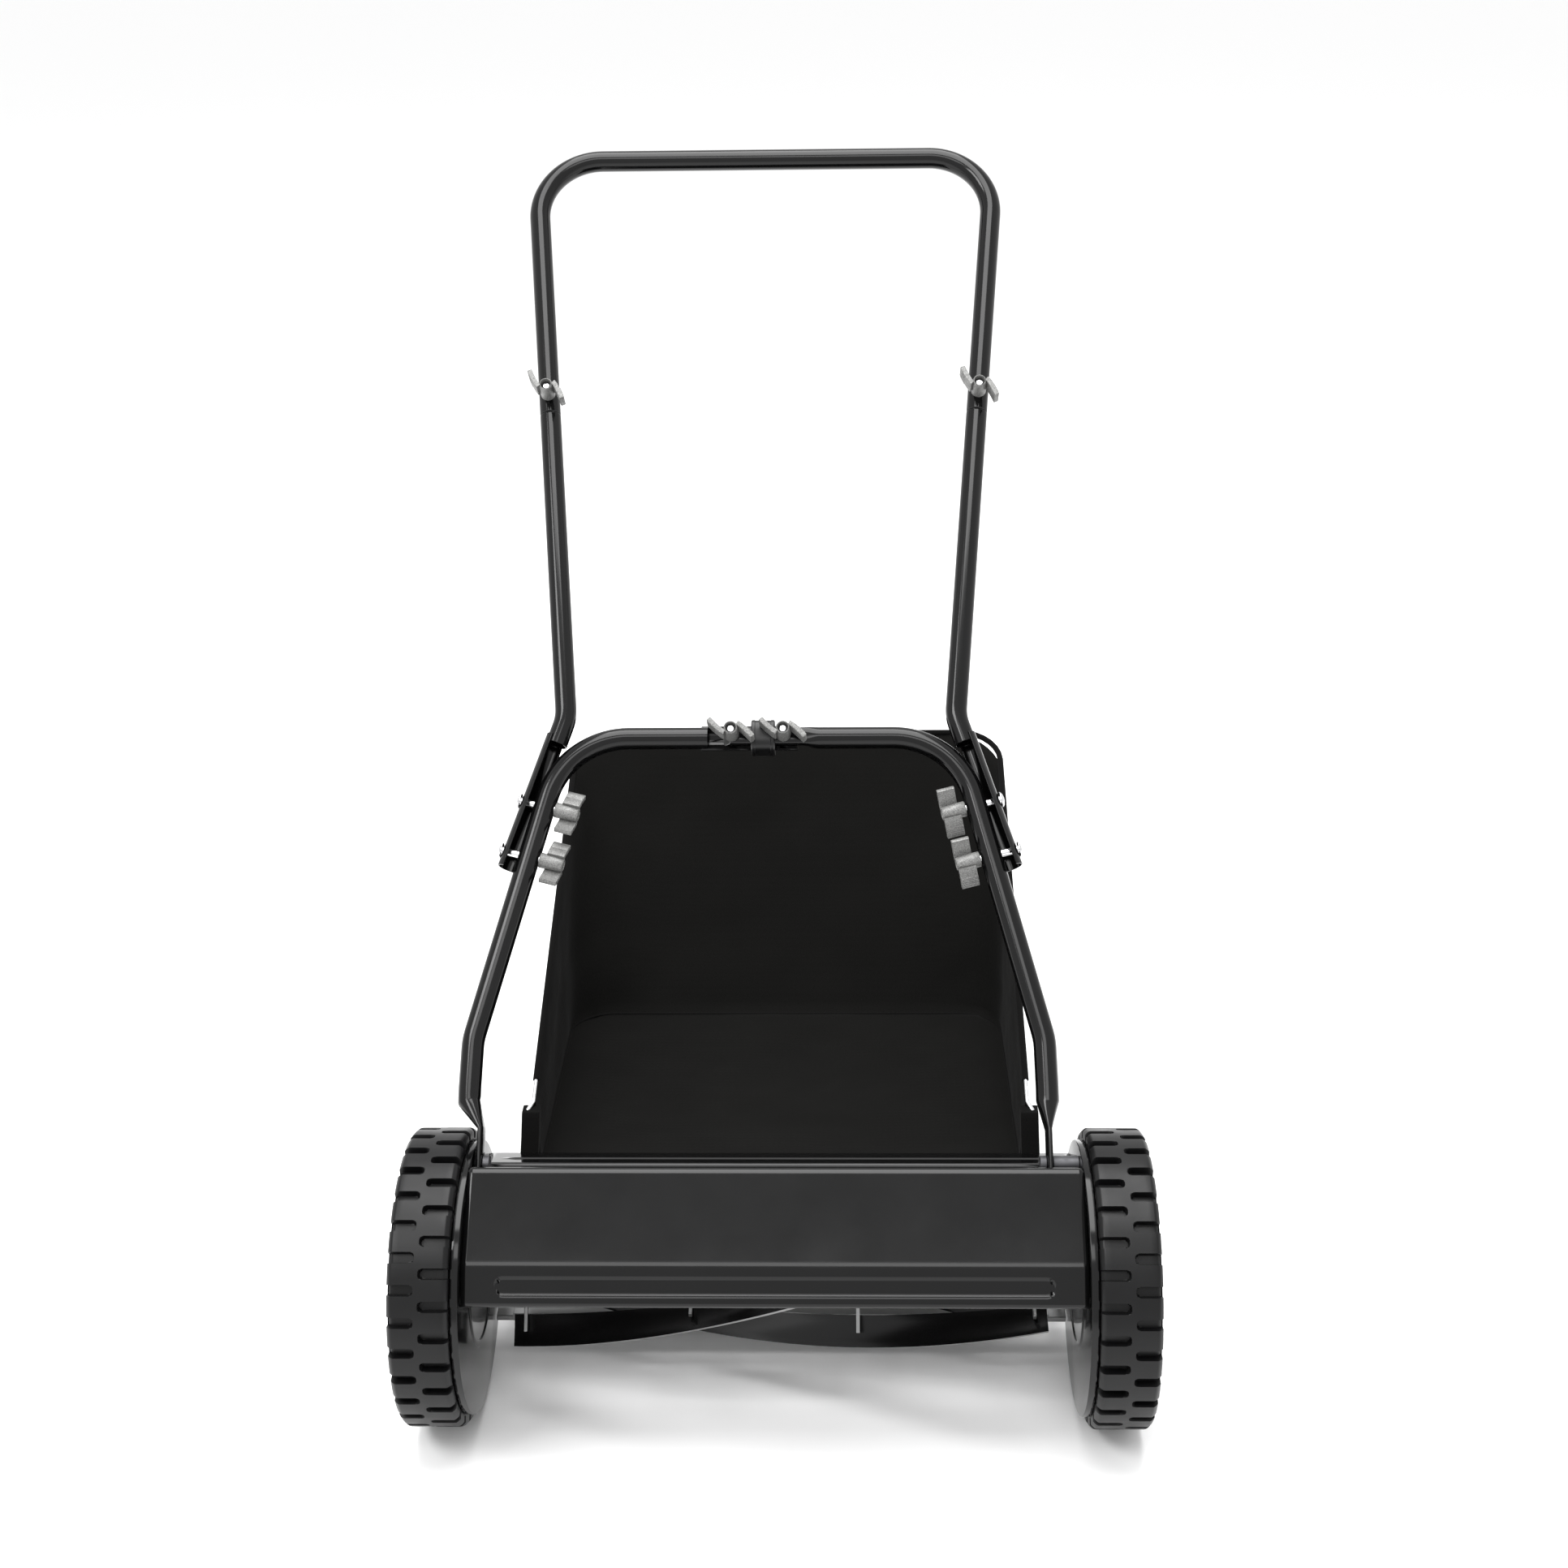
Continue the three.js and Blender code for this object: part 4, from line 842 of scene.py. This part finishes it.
def make_wheel(word, side):
    rim_r = TYRE_IN_R - 0.3
    hub_r = 17
    bore_r = 8.1
    body = lathe([(side_r, side * x) for side_r, x in rounded([
        (bore_r, 268), (hub_r, 268), (hub_r, 297), (106, 297), (106, 268), (rim_r, 268), (rim_r, 314),
        (106, 314), (106, 301), (hub_r, 301), (hub_r, 306), (bore_r, 306),
    ], 1.0, 3)], 0, WHEEL_R, 120)
    ribs = [spoke_rib(2 * math.pi * (k + 0.5) / 10, side, 32, 105.5, 300.5, 307, 3.4) for k in range(10)]
    pitch_r = GEAR_MODULE * GEAR_TEETH / 2
    phase = math.radians(-15) + math.pi / GEAR_TEETH
    inner = [tooth_ring(GEAR_TEETH, pitch_r - 3.2, pitch_r + 4, phase, 0, WHEEL_R, side * x) for x in GEAR_X]
    shares = (-0.24, -0.12, 0.12, 0.24)
    turns = [phase + (i + share) * 2 * math.pi / GEAR_TEETH for i in range(GEAR_TEETH) for share in shares]
    rim = [(GEAR_OUT_R * math.cos(a), WHEEL_R + GEAR_OUT_R * math.sin(a)) for a in turns]
    outer = [[at(side * x, y, z) for y, z in rim] for x in GEAR_X]
    gear = loft([outer[1], outer[0], inner[0], inner[1], outer[1]], caps=False)
    made = piece(f"wheel_{word}_moulding", *merge(body, gear, *ribs))
    stand_for(bevel(made, 0.5, angle_deg=40), f"wheel_{word}")


def make_hub_cap(word, side):
    profile = [(30, 301.3), (30, 305.2), (29.2, 306.4), (26, 308.8), (22, 311.4), (17, 312.6), (14.5, 312.7),
               (13.5, 312.0), (11, 312.0), (10, 313.2), (5, 313.8), (0.01, 314), (0.01, 311.5),
               (26, 308), (26, 301.3)]
    made = piece(f"hub_cap_{word}_moulding", *lathe([(r, side * x) for r, x in profile], 0, WHEEL_R))
    stand_for(made, f"hub_cap_{word}")


# ------------------------------------------------------------------ reel
def blade_angle(x):
    return BLADE_PHASE + BLADE_TWIST * (x - BLADE_PHASE_X)


def make_blade(index):
    """A twisted strip with a hollow face and a ground outer land."""
    stations = 110
    across = 9
    rings = []
    for i in range(stations + 1):
        x = lerp(-REEL_HALF, REEL_HALF, i / stations)
        angle = blade_angle(x) + index * 2 * math.pi / BLADE_COUNT
        ring = {-1: [], 1: []}
        for k in range(across + 1):
            t = k / across
            radius = lerp(BLADE_IN_R, BLADE_OUT_R, t)
            hollow = 1.3 * math.sin(math.pi * t)
            for face in (-1, 1):
                off = hollow + face * BLADE_T / 2 * (1 if 0 < k < across else 0.8)
                y = radius * math.cos(angle) - off * math.sin(angle)
                z = radius * math.sin(angle) + off * math.cos(angle)
                ring[face].append(at(x, REEL_Y + y, REEL_Z + z))
        rings.append(ring[1] + ring[-1][::-1])
    name = f"reel_blade_{index + 1}"
    made = piece(name + "_twisted", *loft(rings), smooth_deg=40)
    stand_for(made, name)
    made.data.materials.append(EDGE_LOOK)
    axis = at(0, REEL_Y, REEL_Z)
    for face in made.data.polygons:
        centre = face.center
        if math.hypot(centre.y - axis.y, centre.z - axis.z) > (BLADE_OUT_R - 0.25) * MM:
            face.material_index = 1


def make_reel():
    for index in range(BLADE_COUNT):
        make_blade(index)
    for index in range(1, 5):
        refined(f"reel_spider_{index}", 0.5)
    for node in ("reel_shaft", "pawl_left", "pawl_right", "pinion_left", "pinion_right",
                 "reel_bearing_left", "reel_bearing_right"):
        refined(node, 0.25)


# ------------------------------------------------------------------ frame
def sheet_grid(name, profile, half, bend_r, thickness, rise=None, columns=96):
    """A bent sheet from X -half to half, with rounded bends and an optional raised pattern."""
    points = [Vector(p) for p in profile]
    line = [points[0]]
    for i in range(1, len(points) - 1):
        back = (points[i - 1] - points[i])
        ahead = (points[i + 1] - points[i])
        trim = min(bend_r, back.length * 0.4, ahead.length * 0.4)
        start, end = points[i] + back.normalized() * trim, points[i] + ahead.normalized() * trim
        for k in range(7):
            t = k / 6
            line.append((1 - t) ** 2 * start + 2 * t * (1 - t) * points[i] + t * t * end)
    line.append(points[-1])
    dense = []
    for a, b in zip(line, line[1:]):
        count = max(1, round((b - a).length / 1.6))
        dense += [a.lerp(b, k / count) for k in range(count)]
    dense.append(line[-1])
    near_ends = {side * (BEAD_HALF + d) for side in (-1, 1) for d in (-6, -4, -2, -1, 0, 1, 2)}
    xs = sorted(set(np.linspace(-half, half, columns)) | near_ends)
    rings = []
    for i, here in enumerate(dense):
        ahead = dense[min(i + 1, len(dense) - 1)] - dense[max(i - 1, 0)]
        normal = Vector((ahead.y, -ahead.x)).normalized()
        ring = []
        for x in xs:
            lift = rise(x, here) if rise else 0
            point = here - normal * lift
            ring.append(at(x, point.x, point.y))
        rings.append(ring)
    made = piece(name, *loft(rings, closed=False, caps=False), smooth_deg=60)
    thick = made.modifiers.new("thickness", "SOLIDIFY")
    thick.thickness = thickness * MM
    return made


def bead_rise(x, here):
    """The raised, round-ended bead on the guard's lower facet."""
    top, bottom = Vector((-82.4, 188.2)), Vector((-93.2, 169.2))
    facet = bottom - top
    t = (here - top).dot(facet) / facet.length_squared
    if here.y > 191 or here.y < 166:
        return 0
    middle, half = 0.5, 0.34
    across = abs(t - middle) * facet.length
    ends = max(0, abs(x) - (BEAD_HALF - half * facet.length))
    return BEAD_RISE * (1 - smooth((math.hypot(across, ends) - half * facet.length + 1.2) / 2.4))


def tie_rise(x, here):
    """The narrow pressed bead along the middle of the tie plate."""
    ends = max(0, abs(x) - TIE_BEAD_HALF)
    return 1.1 * (1 - smooth((math.hypot(here.x - TIE_BEAD_Y, ends) - 0.8) / 1.8))


def make_guard():
    made = sheet_grid("front_guard_sheet", GUARD_PROFILE, GUARD_HALF, 4, GUARD_T, bead_rise, 120)
    made.modifiers["thickness"].offset = 1
    stand_for(made, "front_guard")
    for word, side in SIDES:
        tab = [(-16, 243.5), (-77, 191), (-90, 168), (-70, 164), (-50, 182), (-4, 222)]
        rings = [[at(side * x, y, z) for y, z in rounded(tab, 5)] for x in (GUARD_HALF - 2, GUARD_HALF)]
        add_to(bevel(piece(f"guard_tab_{word}", *loft(rings)), 0.4), "front_guard")


def make_side_plate(word, side):
    """A pressed disc with a rolled rim, a pressed ring and the wheel's stub axle."""
    out = PLATE_X + 2
    profile = rounded([
        (0.01, PLATE_X), (54, PLATE_X), (55.5, PLATE_X - 1.2), (60, PLATE_X - 1.2), (61.5, PLATE_X),
        (PLATE_R, PLATE_X), (PLATE_R, 265.5), (PLATE_R - 2, 265.5), (PLATE_R - 2, out),
        (61.5, out), (60, out - 1.2), (55.5, out - 1.2), (54, out),
        (16, out), (16, 266), (8, 266), (8, 307.4), (7.4, 308), (0.01, 308),
    ], 0.8, 3)
    disc = lathe([(r, side * x) for r, x in profile], 0, WHEEL_R, 128)
    made = piece(f"side_plate_{word}_pressing", *disc)
    stand_for(made, f"side_plate_{word}")
    near, far, low, high = ROD_Y - 6, ROD_Y + 6, ROD_Z - 8, ROD_Z + 6
    lug = rounded([(near, low), (far, low), (far, high), (near, high)], 3)
    rings = [[at(side * x, y, z) for y, z in lug] for x in (237, PLATE_X + 1)]
    add_to(bevel(piece(f"rod_lug_{word}", *loft(rings)), 0.5), f"side_plate_{word}")


def make_frame():
    make_guard()
    for word, side in SIDES:
        make_side_plate(word, side)
        refined(f"handle_pivot_{word}", 0.3)
        refined(f"roller_bracket_{word}", 0.4)
    tie = sheet_grid("rear_tie_plate_sheet", TIE_PROFILE, TIE_HALF, 2, TIE_T, tie_rise)
    tie.modifiers["thickness"].offset = 1
    stand_for(tie, "rear_tie_plate")
    refined("bed_knife_bar", 0.6)
    refined("bed_knife_blade", 0.3)
    ring = circle_offsets(ROD_R, 24)
    rod = [[at(x, ROD_Y + a, ROD_Z + b) for a, b in ring] for x in (-249, -248.5, 248.5, 249)]
    stand_for(piece("catcher_rod_round", *loft(rod)), "catcher_rod")
    roller_r, roller_half = 20, 215
    profile = rounded([
        (4.2, -roller_half), (18.6, -roller_half), (roller_r, 1.4 - roller_half),
        (roller_r, roller_half - 1.4), (18.6, roller_half), (4.2, roller_half), (4.2, roller_half - 8),
        (15, roller_half - 8),
        (15, 8 - roller_half), (4.2, 8 - roller_half),
    ], 0.6, 2)
    stand_for(piece("rear_roller_moulding", *lathe(profile, 122, 20, 96)), "rear_roller")
    refined("roller_rod", 0.4)


# ------------------------------------------------------------------ catcher
def boundary(front, rear, half, corner, share):
    """A point on the U outline: share 0 to 1 runs up the left side, over the rear and back."""
    run = Vector(rear) - Vector(front)
    length = run.length
    straight = length - corner
    arc = corner * math.pi / 2
    total = 2 * straight + 2 * arc + 2 * (half - corner)
    d = share * total
    if share > 0.5:
        point = boundary(front, rear, half, corner, 1 - share)
        return Vector((-point.x, point.y, point.z))
    if d <= straight:
        x, along = -half, d
    elif d <= straight + arc:
        turn = (d - straight) / corner
        x, along = -(half - corner) - corner * math.cos(turn), straight + corner * math.sin(turn)
    else:
        x, along = -(half - corner) + (d - straight - arc), length
    place = Vector(front) + run * along / length
    return Vector((x, place.x, place.y))


def outline(front, rear, half, corner, count):
    """The whole U outline as count + 1 evenly spaced points."""
    return [boundary(front, rear, half, corner, k / count) for k in range(count + 1)]


def bag_points(nx, ny, rows):
    """Floor and wall grids that share their edge, in mm."""
    count = 2 * ny + nx
    edge = outline(FLOOR_FRONT, FLOOR_REAR, FLOOR_HALF, BAG_CORNER, count)
    rim = outline(RIM_FRONT, RIM_REAR, RIM_HALF, CLOTH_CORNER, count)
    left, rear, right = edge[:ny + 1], edge[ny:ny + nx + 1], edge[ny + nx:][::-1]
    front = [left[0].lerp(right[0], i / nx) for i in range(nx + 1)]
    floor = []
    for j in range(ny + 1):
        v = j / ny
        row = []
        for i in range(nx + 1):
            u = i / nx
            sides = left[j].lerp(right[j], u) + front[i].lerp(rear[i], v)
            corners = left[0].lerp(right[0], u).lerp(left[ny].lerp(right[ny], u), v)
            row.append(sides - corners)
        floor.append(row)
    walls = [[edge[j].lerp(rim[j], k / rows) for j in range(count + 1)] for k in range(rows + 1)]
    return floor, walls, count


def slack(point, spread, seed):
    """A soft, repeatable wrinkle height at a point in mm."""
    p = Vector((point.x, point.y, point.z * 1.6)) / spread
    return turbulence.noise(p + Vector((seed, seed * 0.7, 0)))


def make_bag_shell():
    nx, ny, rows = 56, 40, 22
    floor, walls, count = bag_points(nx, ny, rows)
    verts, index = [], {}

    def vertex(point):
        key = (round(point.x, 3), round(point.y, 3), round(point.z, 3))
        if key not in index:
            index[key] = len(verts)
            verts.append(Vector(point))
        return index[key]

    faces = []
    grid = [[vertex(p) for p in row] for row in floor]
    for a, b in zip(grid, grid[1:]):
        faces += [(a[i], a[i + 1], b[i + 1], b[i]) for i in range(nx)]
    grid = [[vertex(p) for p in row] for row in walls]
    for a, b in zip(grid, grid[1:]):
        faces += [(a[i], b[i], b[i + 1], a[i + 1]) for i in range(count)]
    held = set(grid[0]) | set(grid[-1]) | {row[0] for row in grid} | {row[-1] for row in grid}
    held |= {vertex(p) for p in floor[0]}
    rested = [v.copy() for v in verts]
    made = piece("catcher_bag_cloth", [at(*v) for v in verts], faces, smooth_deg=180)
    pins = made.vertex_groups.new(name="sewn")
    spots = {tuple(round(c, 5) for c in at(*rested[i])): i for i in held}
    for v in made.data.vertices:
        if tuple(round(c, 5) for c in v.co) in spots:
            pins.add([v.index], 1.0, "REPLACE")
    return made


def hang_cloth(made, frames=60):
    """Lets the sewn shell sag in Blender's cloth solver, then keeps the result as its mesh."""
    scene = bpy.context.scene
    cloth = made.modifiers.new("sag", "CLOTH")
    settings = cloth.settings
    settings.quality = 6
    settings.mass = 0.15
    settings.tension_stiffness = settings.compression_stiffness = 80
    settings.shear_stiffness = 40
    settings.bending_stiffness = 4
    settings.vertex_group_mass = "sewn"
    settings.effector_weights.gravity = 0.6
    cloth.point_cache.frame_start = 1
    cloth.point_cache.frame_end = frames
    for number in range(1, frames + 1):
        scene.frame_set(number)
    result = made.evaluated_get(bpy.context.evaluated_depsgraph_get())
    moved = [v.co.copy() for v in result.data.vertices]
    made.modifiers.remove(cloth)
    for v, place in zip(made.data.vertices, moved):
        v.co = place
    scene.frame_set(1)


def wrinkle(made):
    """Adds small slack folds, which the stiff cloth doesn't form by itself."""
    pins = made.vertex_groups["sewn"].index
    for v in made.data.vertices:
        if any(group.group == pins for group in v.groups):
            continue
        here = Vector((v.co.x / MM, (v.co.y - AXLE_Y) / MM, v.co.z / MM))
        lift = sum(high * slack(here, spread, seed) for high, spread, seed in FOLDS)
        v.co += v.normal * lift * MM


def strip_along(points, offsets):
    """Sweeps a cross-section, given by an offset function, along points in mm."""
    rings = []
    for i, here in enumerate(points):
        back, ahead = points[max(i - 1, 0)], points[min(i + 1, len(points) - 1)]
        tangent = (ahead - back).normalized()
        level = Vector((0, 0.35, -0.94)).cross(tangent).normalized()
        up = tangent.cross(level)
        rings.append([at(*(here + level * a + up * b)) for a, b in offsets])
    return loft(rings)


def circle_offsets(radius, count=16):
    turns = [2 * math.pi * k / count for k in range(count)]
    return [(radius * math.cos(a), radius * math.sin(a)) for a in turns]


def stitches(name, points, offset, length=2.6, gap=1.8, radius=0.32):
    """A row of thread stitches along points in mm."""
    parts, travel = [], 0.0
    for a, b in zip(points, points[1:]):
        span = (b - a).length
        while travel < span:
            middle = a.lerp(b, travel / span)
            tangent = (b - a).normalized() * length / 2
            path = [middle - tangent + offset, middle + tangent + offset]
            parts.append(strip_along(path, circle_offsets(radius, 6)))
            travel += length + gap
        travel -= span
    return piece(name, *merge(*parts), smooth_deg=60)


def add_trim(name, part):
    """A taped edge or strip that rides with the bag."""
    add_to(piece(name, *part, smooth_deg=60), "catcher_bag", TAPE_LOOK)


def make_catcher():
    bag = make_bag_shell()
    hang_cloth(bag)
    wrinkle(bag)
    thick = bag.modifiers.new("thickness", "SOLIDIFY")
    thick.thickness = CLOTH_T * MM
    thick.offset = 0
    stand_for(bag, "catcher_bag")
    soften(bag, 180)

    steps = 150
    rim = outline(RIM_FRONT, RIM_REAR, RIM_HALF, BAG_CORNER, steps)
    add_trim("catcher_rim_sleeve", strip_along(rim[SLEEVE_FROM:-SLEEVE_FROM], circle_offsets(SLEEVE_R)))
    below = Vector((0, 0, -9))
    seam = outline(RIM_FRONT, RIM_REAR, RIM_HALF, CLOTH_CORNER, steps)
    sewing = stitches("catcher_rim_stitching", seam[SLEEVE_FROM:-SLEEVE_FROM], below)
    add_to(sewing, "catcher_bag", THREAD.material)
    edge = outline(FLOOR_FRONT, FLOOR_REAR, FLOOR_HALF, BAG_CORNER, steps)
    add_trim("catcher_floor_piping", strip_along(edge, circle_offsets(1.5, 12)))

    lip = rounded([(-3.2, -1.2), (3.2, -1.2), (3.2, 1.4), (-3.2, 1.4)], 1.0, 3)
    lip_y, lip_z = FLOOR_FRONT[0] + 1.5, FLOOR_FRONT[1] + 0.6
    across = np.linspace(-FLOOR_HALF, FLOOR_HALF, 40)
    rings = [[at(x, lip_y + a, lip_z + b) for a, b in lip] for x in across]
    add_trim("catcher_front_lip", loft(rings))
    for word, side in SIDES:
        low = Vector((side * FLOOR_HALF, FLOOR_FRONT[0], FLOOR_FRONT[1]))
        high = Vector((side * RIM_HALF, RIM_FRONT[0], RIM_FRONT[1]))
        hem = [low.lerp(high, k / 12) for k in range(13)]
        section = rounded([(-1.4, -4), (1.4, -4), (1.4, 5), (-1.4, 5)], 1.0, 3)
        rings = [[at(p.x + a, p.y + b, p.z) for a, b in section] for p in hem]
        add_trim(f"catcher_front_hem_{word}", loft(rings))

    rod_top = ROD_Z + WIRE_R + 0.3 + ROD_R
    foot = [Vector((-231, ROD_Y - 3, rod_top)), Vector((-231, ROD_Y + 5, rod_top + 1)),
            Vector((-230.8, RIM_FRONT[0] - 15, RIM_FRONT[1] - 9)),
            Vector((-RIM_HALF, RIM_FRONT[0] - 6, RIM_FRONT[1] - 2.3))]
    other = [Vector((-p.x, p.y, p.z)) for p in reversed(foot)]
    wire = piece("catcher_wire", *strip_along(foot + rim + other, circle_offsets(WIRE_R)), smooth_deg=60)
    stand_for(wire, "catcher_frame")
    for word, side in SIDES:
        legs = [Vector((side * -p.x, p.y, p.z)) for p in foot[:3]]
        low, high = legs[0] - Vector((0, 1.5, 9)), legs[2] + Vector((0, 3, 3))
        route = [low, legs[0], legs[1].lerp(legs[2], 0.5), legs[2], high]
        spread = (5, 6, 8, 7, 6.5)
        rings = []
        for p, wide in zip(route, spread):
            section = rounded([(3.0, -wide), (3.0, wide), (-13, wide), (-13, -wide)], 1.2, 3)
            rings.append([at(p.x + side * a, p.y + b, p.z) for a, b in section])
        flap = piece(f"catcher_side_flap_{word}", *loft(rings), smooth_deg=60)
        add_to(bevel(flap, 0.5), "catcher_bag", TAPE_LOOK)


# ------------------------------------------------------------------ stage
def make_floor():
    half = 30
    corners = [(-half, -half, 0), (half, -half, 0), (half, half, 0), (-half, half, 0)]
    mesh = bpy.data.meshes.new("floor")
    mesh.from_pydata(corners, [], [(0, 1, 2, 3)])
    floor = bpy.data.objects.new("floor", mesh)
    bpy.context.scene.collection.objects.link(floor)
    floor.data.materials.append(Surface("floor", (0.9, 0.9, 0.9), 0.8, Specular_IOR_Level=0.2).material)


def make_camera():
    """A 50 mm view from in front and above, turned and tilted as measured."""
    yaw, pitch, roll = -0.02749, 0.40288, -0.01409
    forward = Vector((math.sin(yaw) * math.cos(pitch), math.cos(yaw) * math.cos(pitch), -math.sin(pitch)))
    level = Vector((math.cos(yaw), -math.sin(yaw), 0))
    up = level.cross(forward)
    right = level * math.cos(roll) + up * math.sin(roll)
    top = up * math.cos(roll) - level * math.sin(roll)
    camera = bpy.data.objects.new("camera", bpy.data.cameras.new("camera"))
    bpy.context.scene.collection.objects.link(camera)
    camera.data.lens = 50
    camera.data.sensor_width = 36
    axes = Matrix((right, top, -forward)).transposed().to_4x4()
    camera.matrix_world = Matrix.Translation(Vector((0.05496, AXLE_Y - 1.57219, 1.26155))) @ axes
    bpy.context.scene.camera = camera


def add_light(name, place, target, size, power):
    data = bpy.data.lights.new(name, "AREA")
    data.shape = "RECTANGLE"
    data.size, data.size_y = size
    data.energy = power
    lamp = bpy.data.objects.new(name, data)
    bpy.context.scene.collection.objects.link(lamp)
    lamp.location = place
    lamp.rotation_euler = (Vector(target) - Vector(place)).to_track_quat("-Z", "Y").to_euler()


def make_light():
    """A white room with three softboxes near the ceiling: overhead, in front and on the left."""
    world = bpy.data.worlds.new("studio")
    world.use_nodes = True
    world.node_tree.nodes["Background"].inputs["Color"].default_value = (1, 1, 1, 1)
    world.node_tree.nodes["Background"].inputs["Strength"].default_value = 1.08
    bpy.context.scene.world = world
    bpy.context.scene.view_settings.view_transform = "Standard"
    add_light("overhead", (-0.1, 0.35, 4.0), (-0.1, 0.35, 0), (2.4, 3.7), 200)
    add_light("front", (-0.2, -3.0, 4.0), (-0.2, -0.6, 0.3), (2.2, 1.0), 30)
    add_light("left", (-2.4, -2.05, 3.9), (0, -0.2, 0.5), (1.9, 1.2), 84)


# ------------------------------------------------------------------ assembly
make_camera()
make_light()
make_floor()
for word, side in SIDES:
    make_tyre(word, side)
    make_wheel(word, side)
    make_hub_cap(word, side)
    make_middle_handle(word, side)
make_reel()
make_frame()
make_upper_handle()
make_lower_handle_left()
make_lower_handle_right()
make_clip()
make_fasteners()
make_catcher()
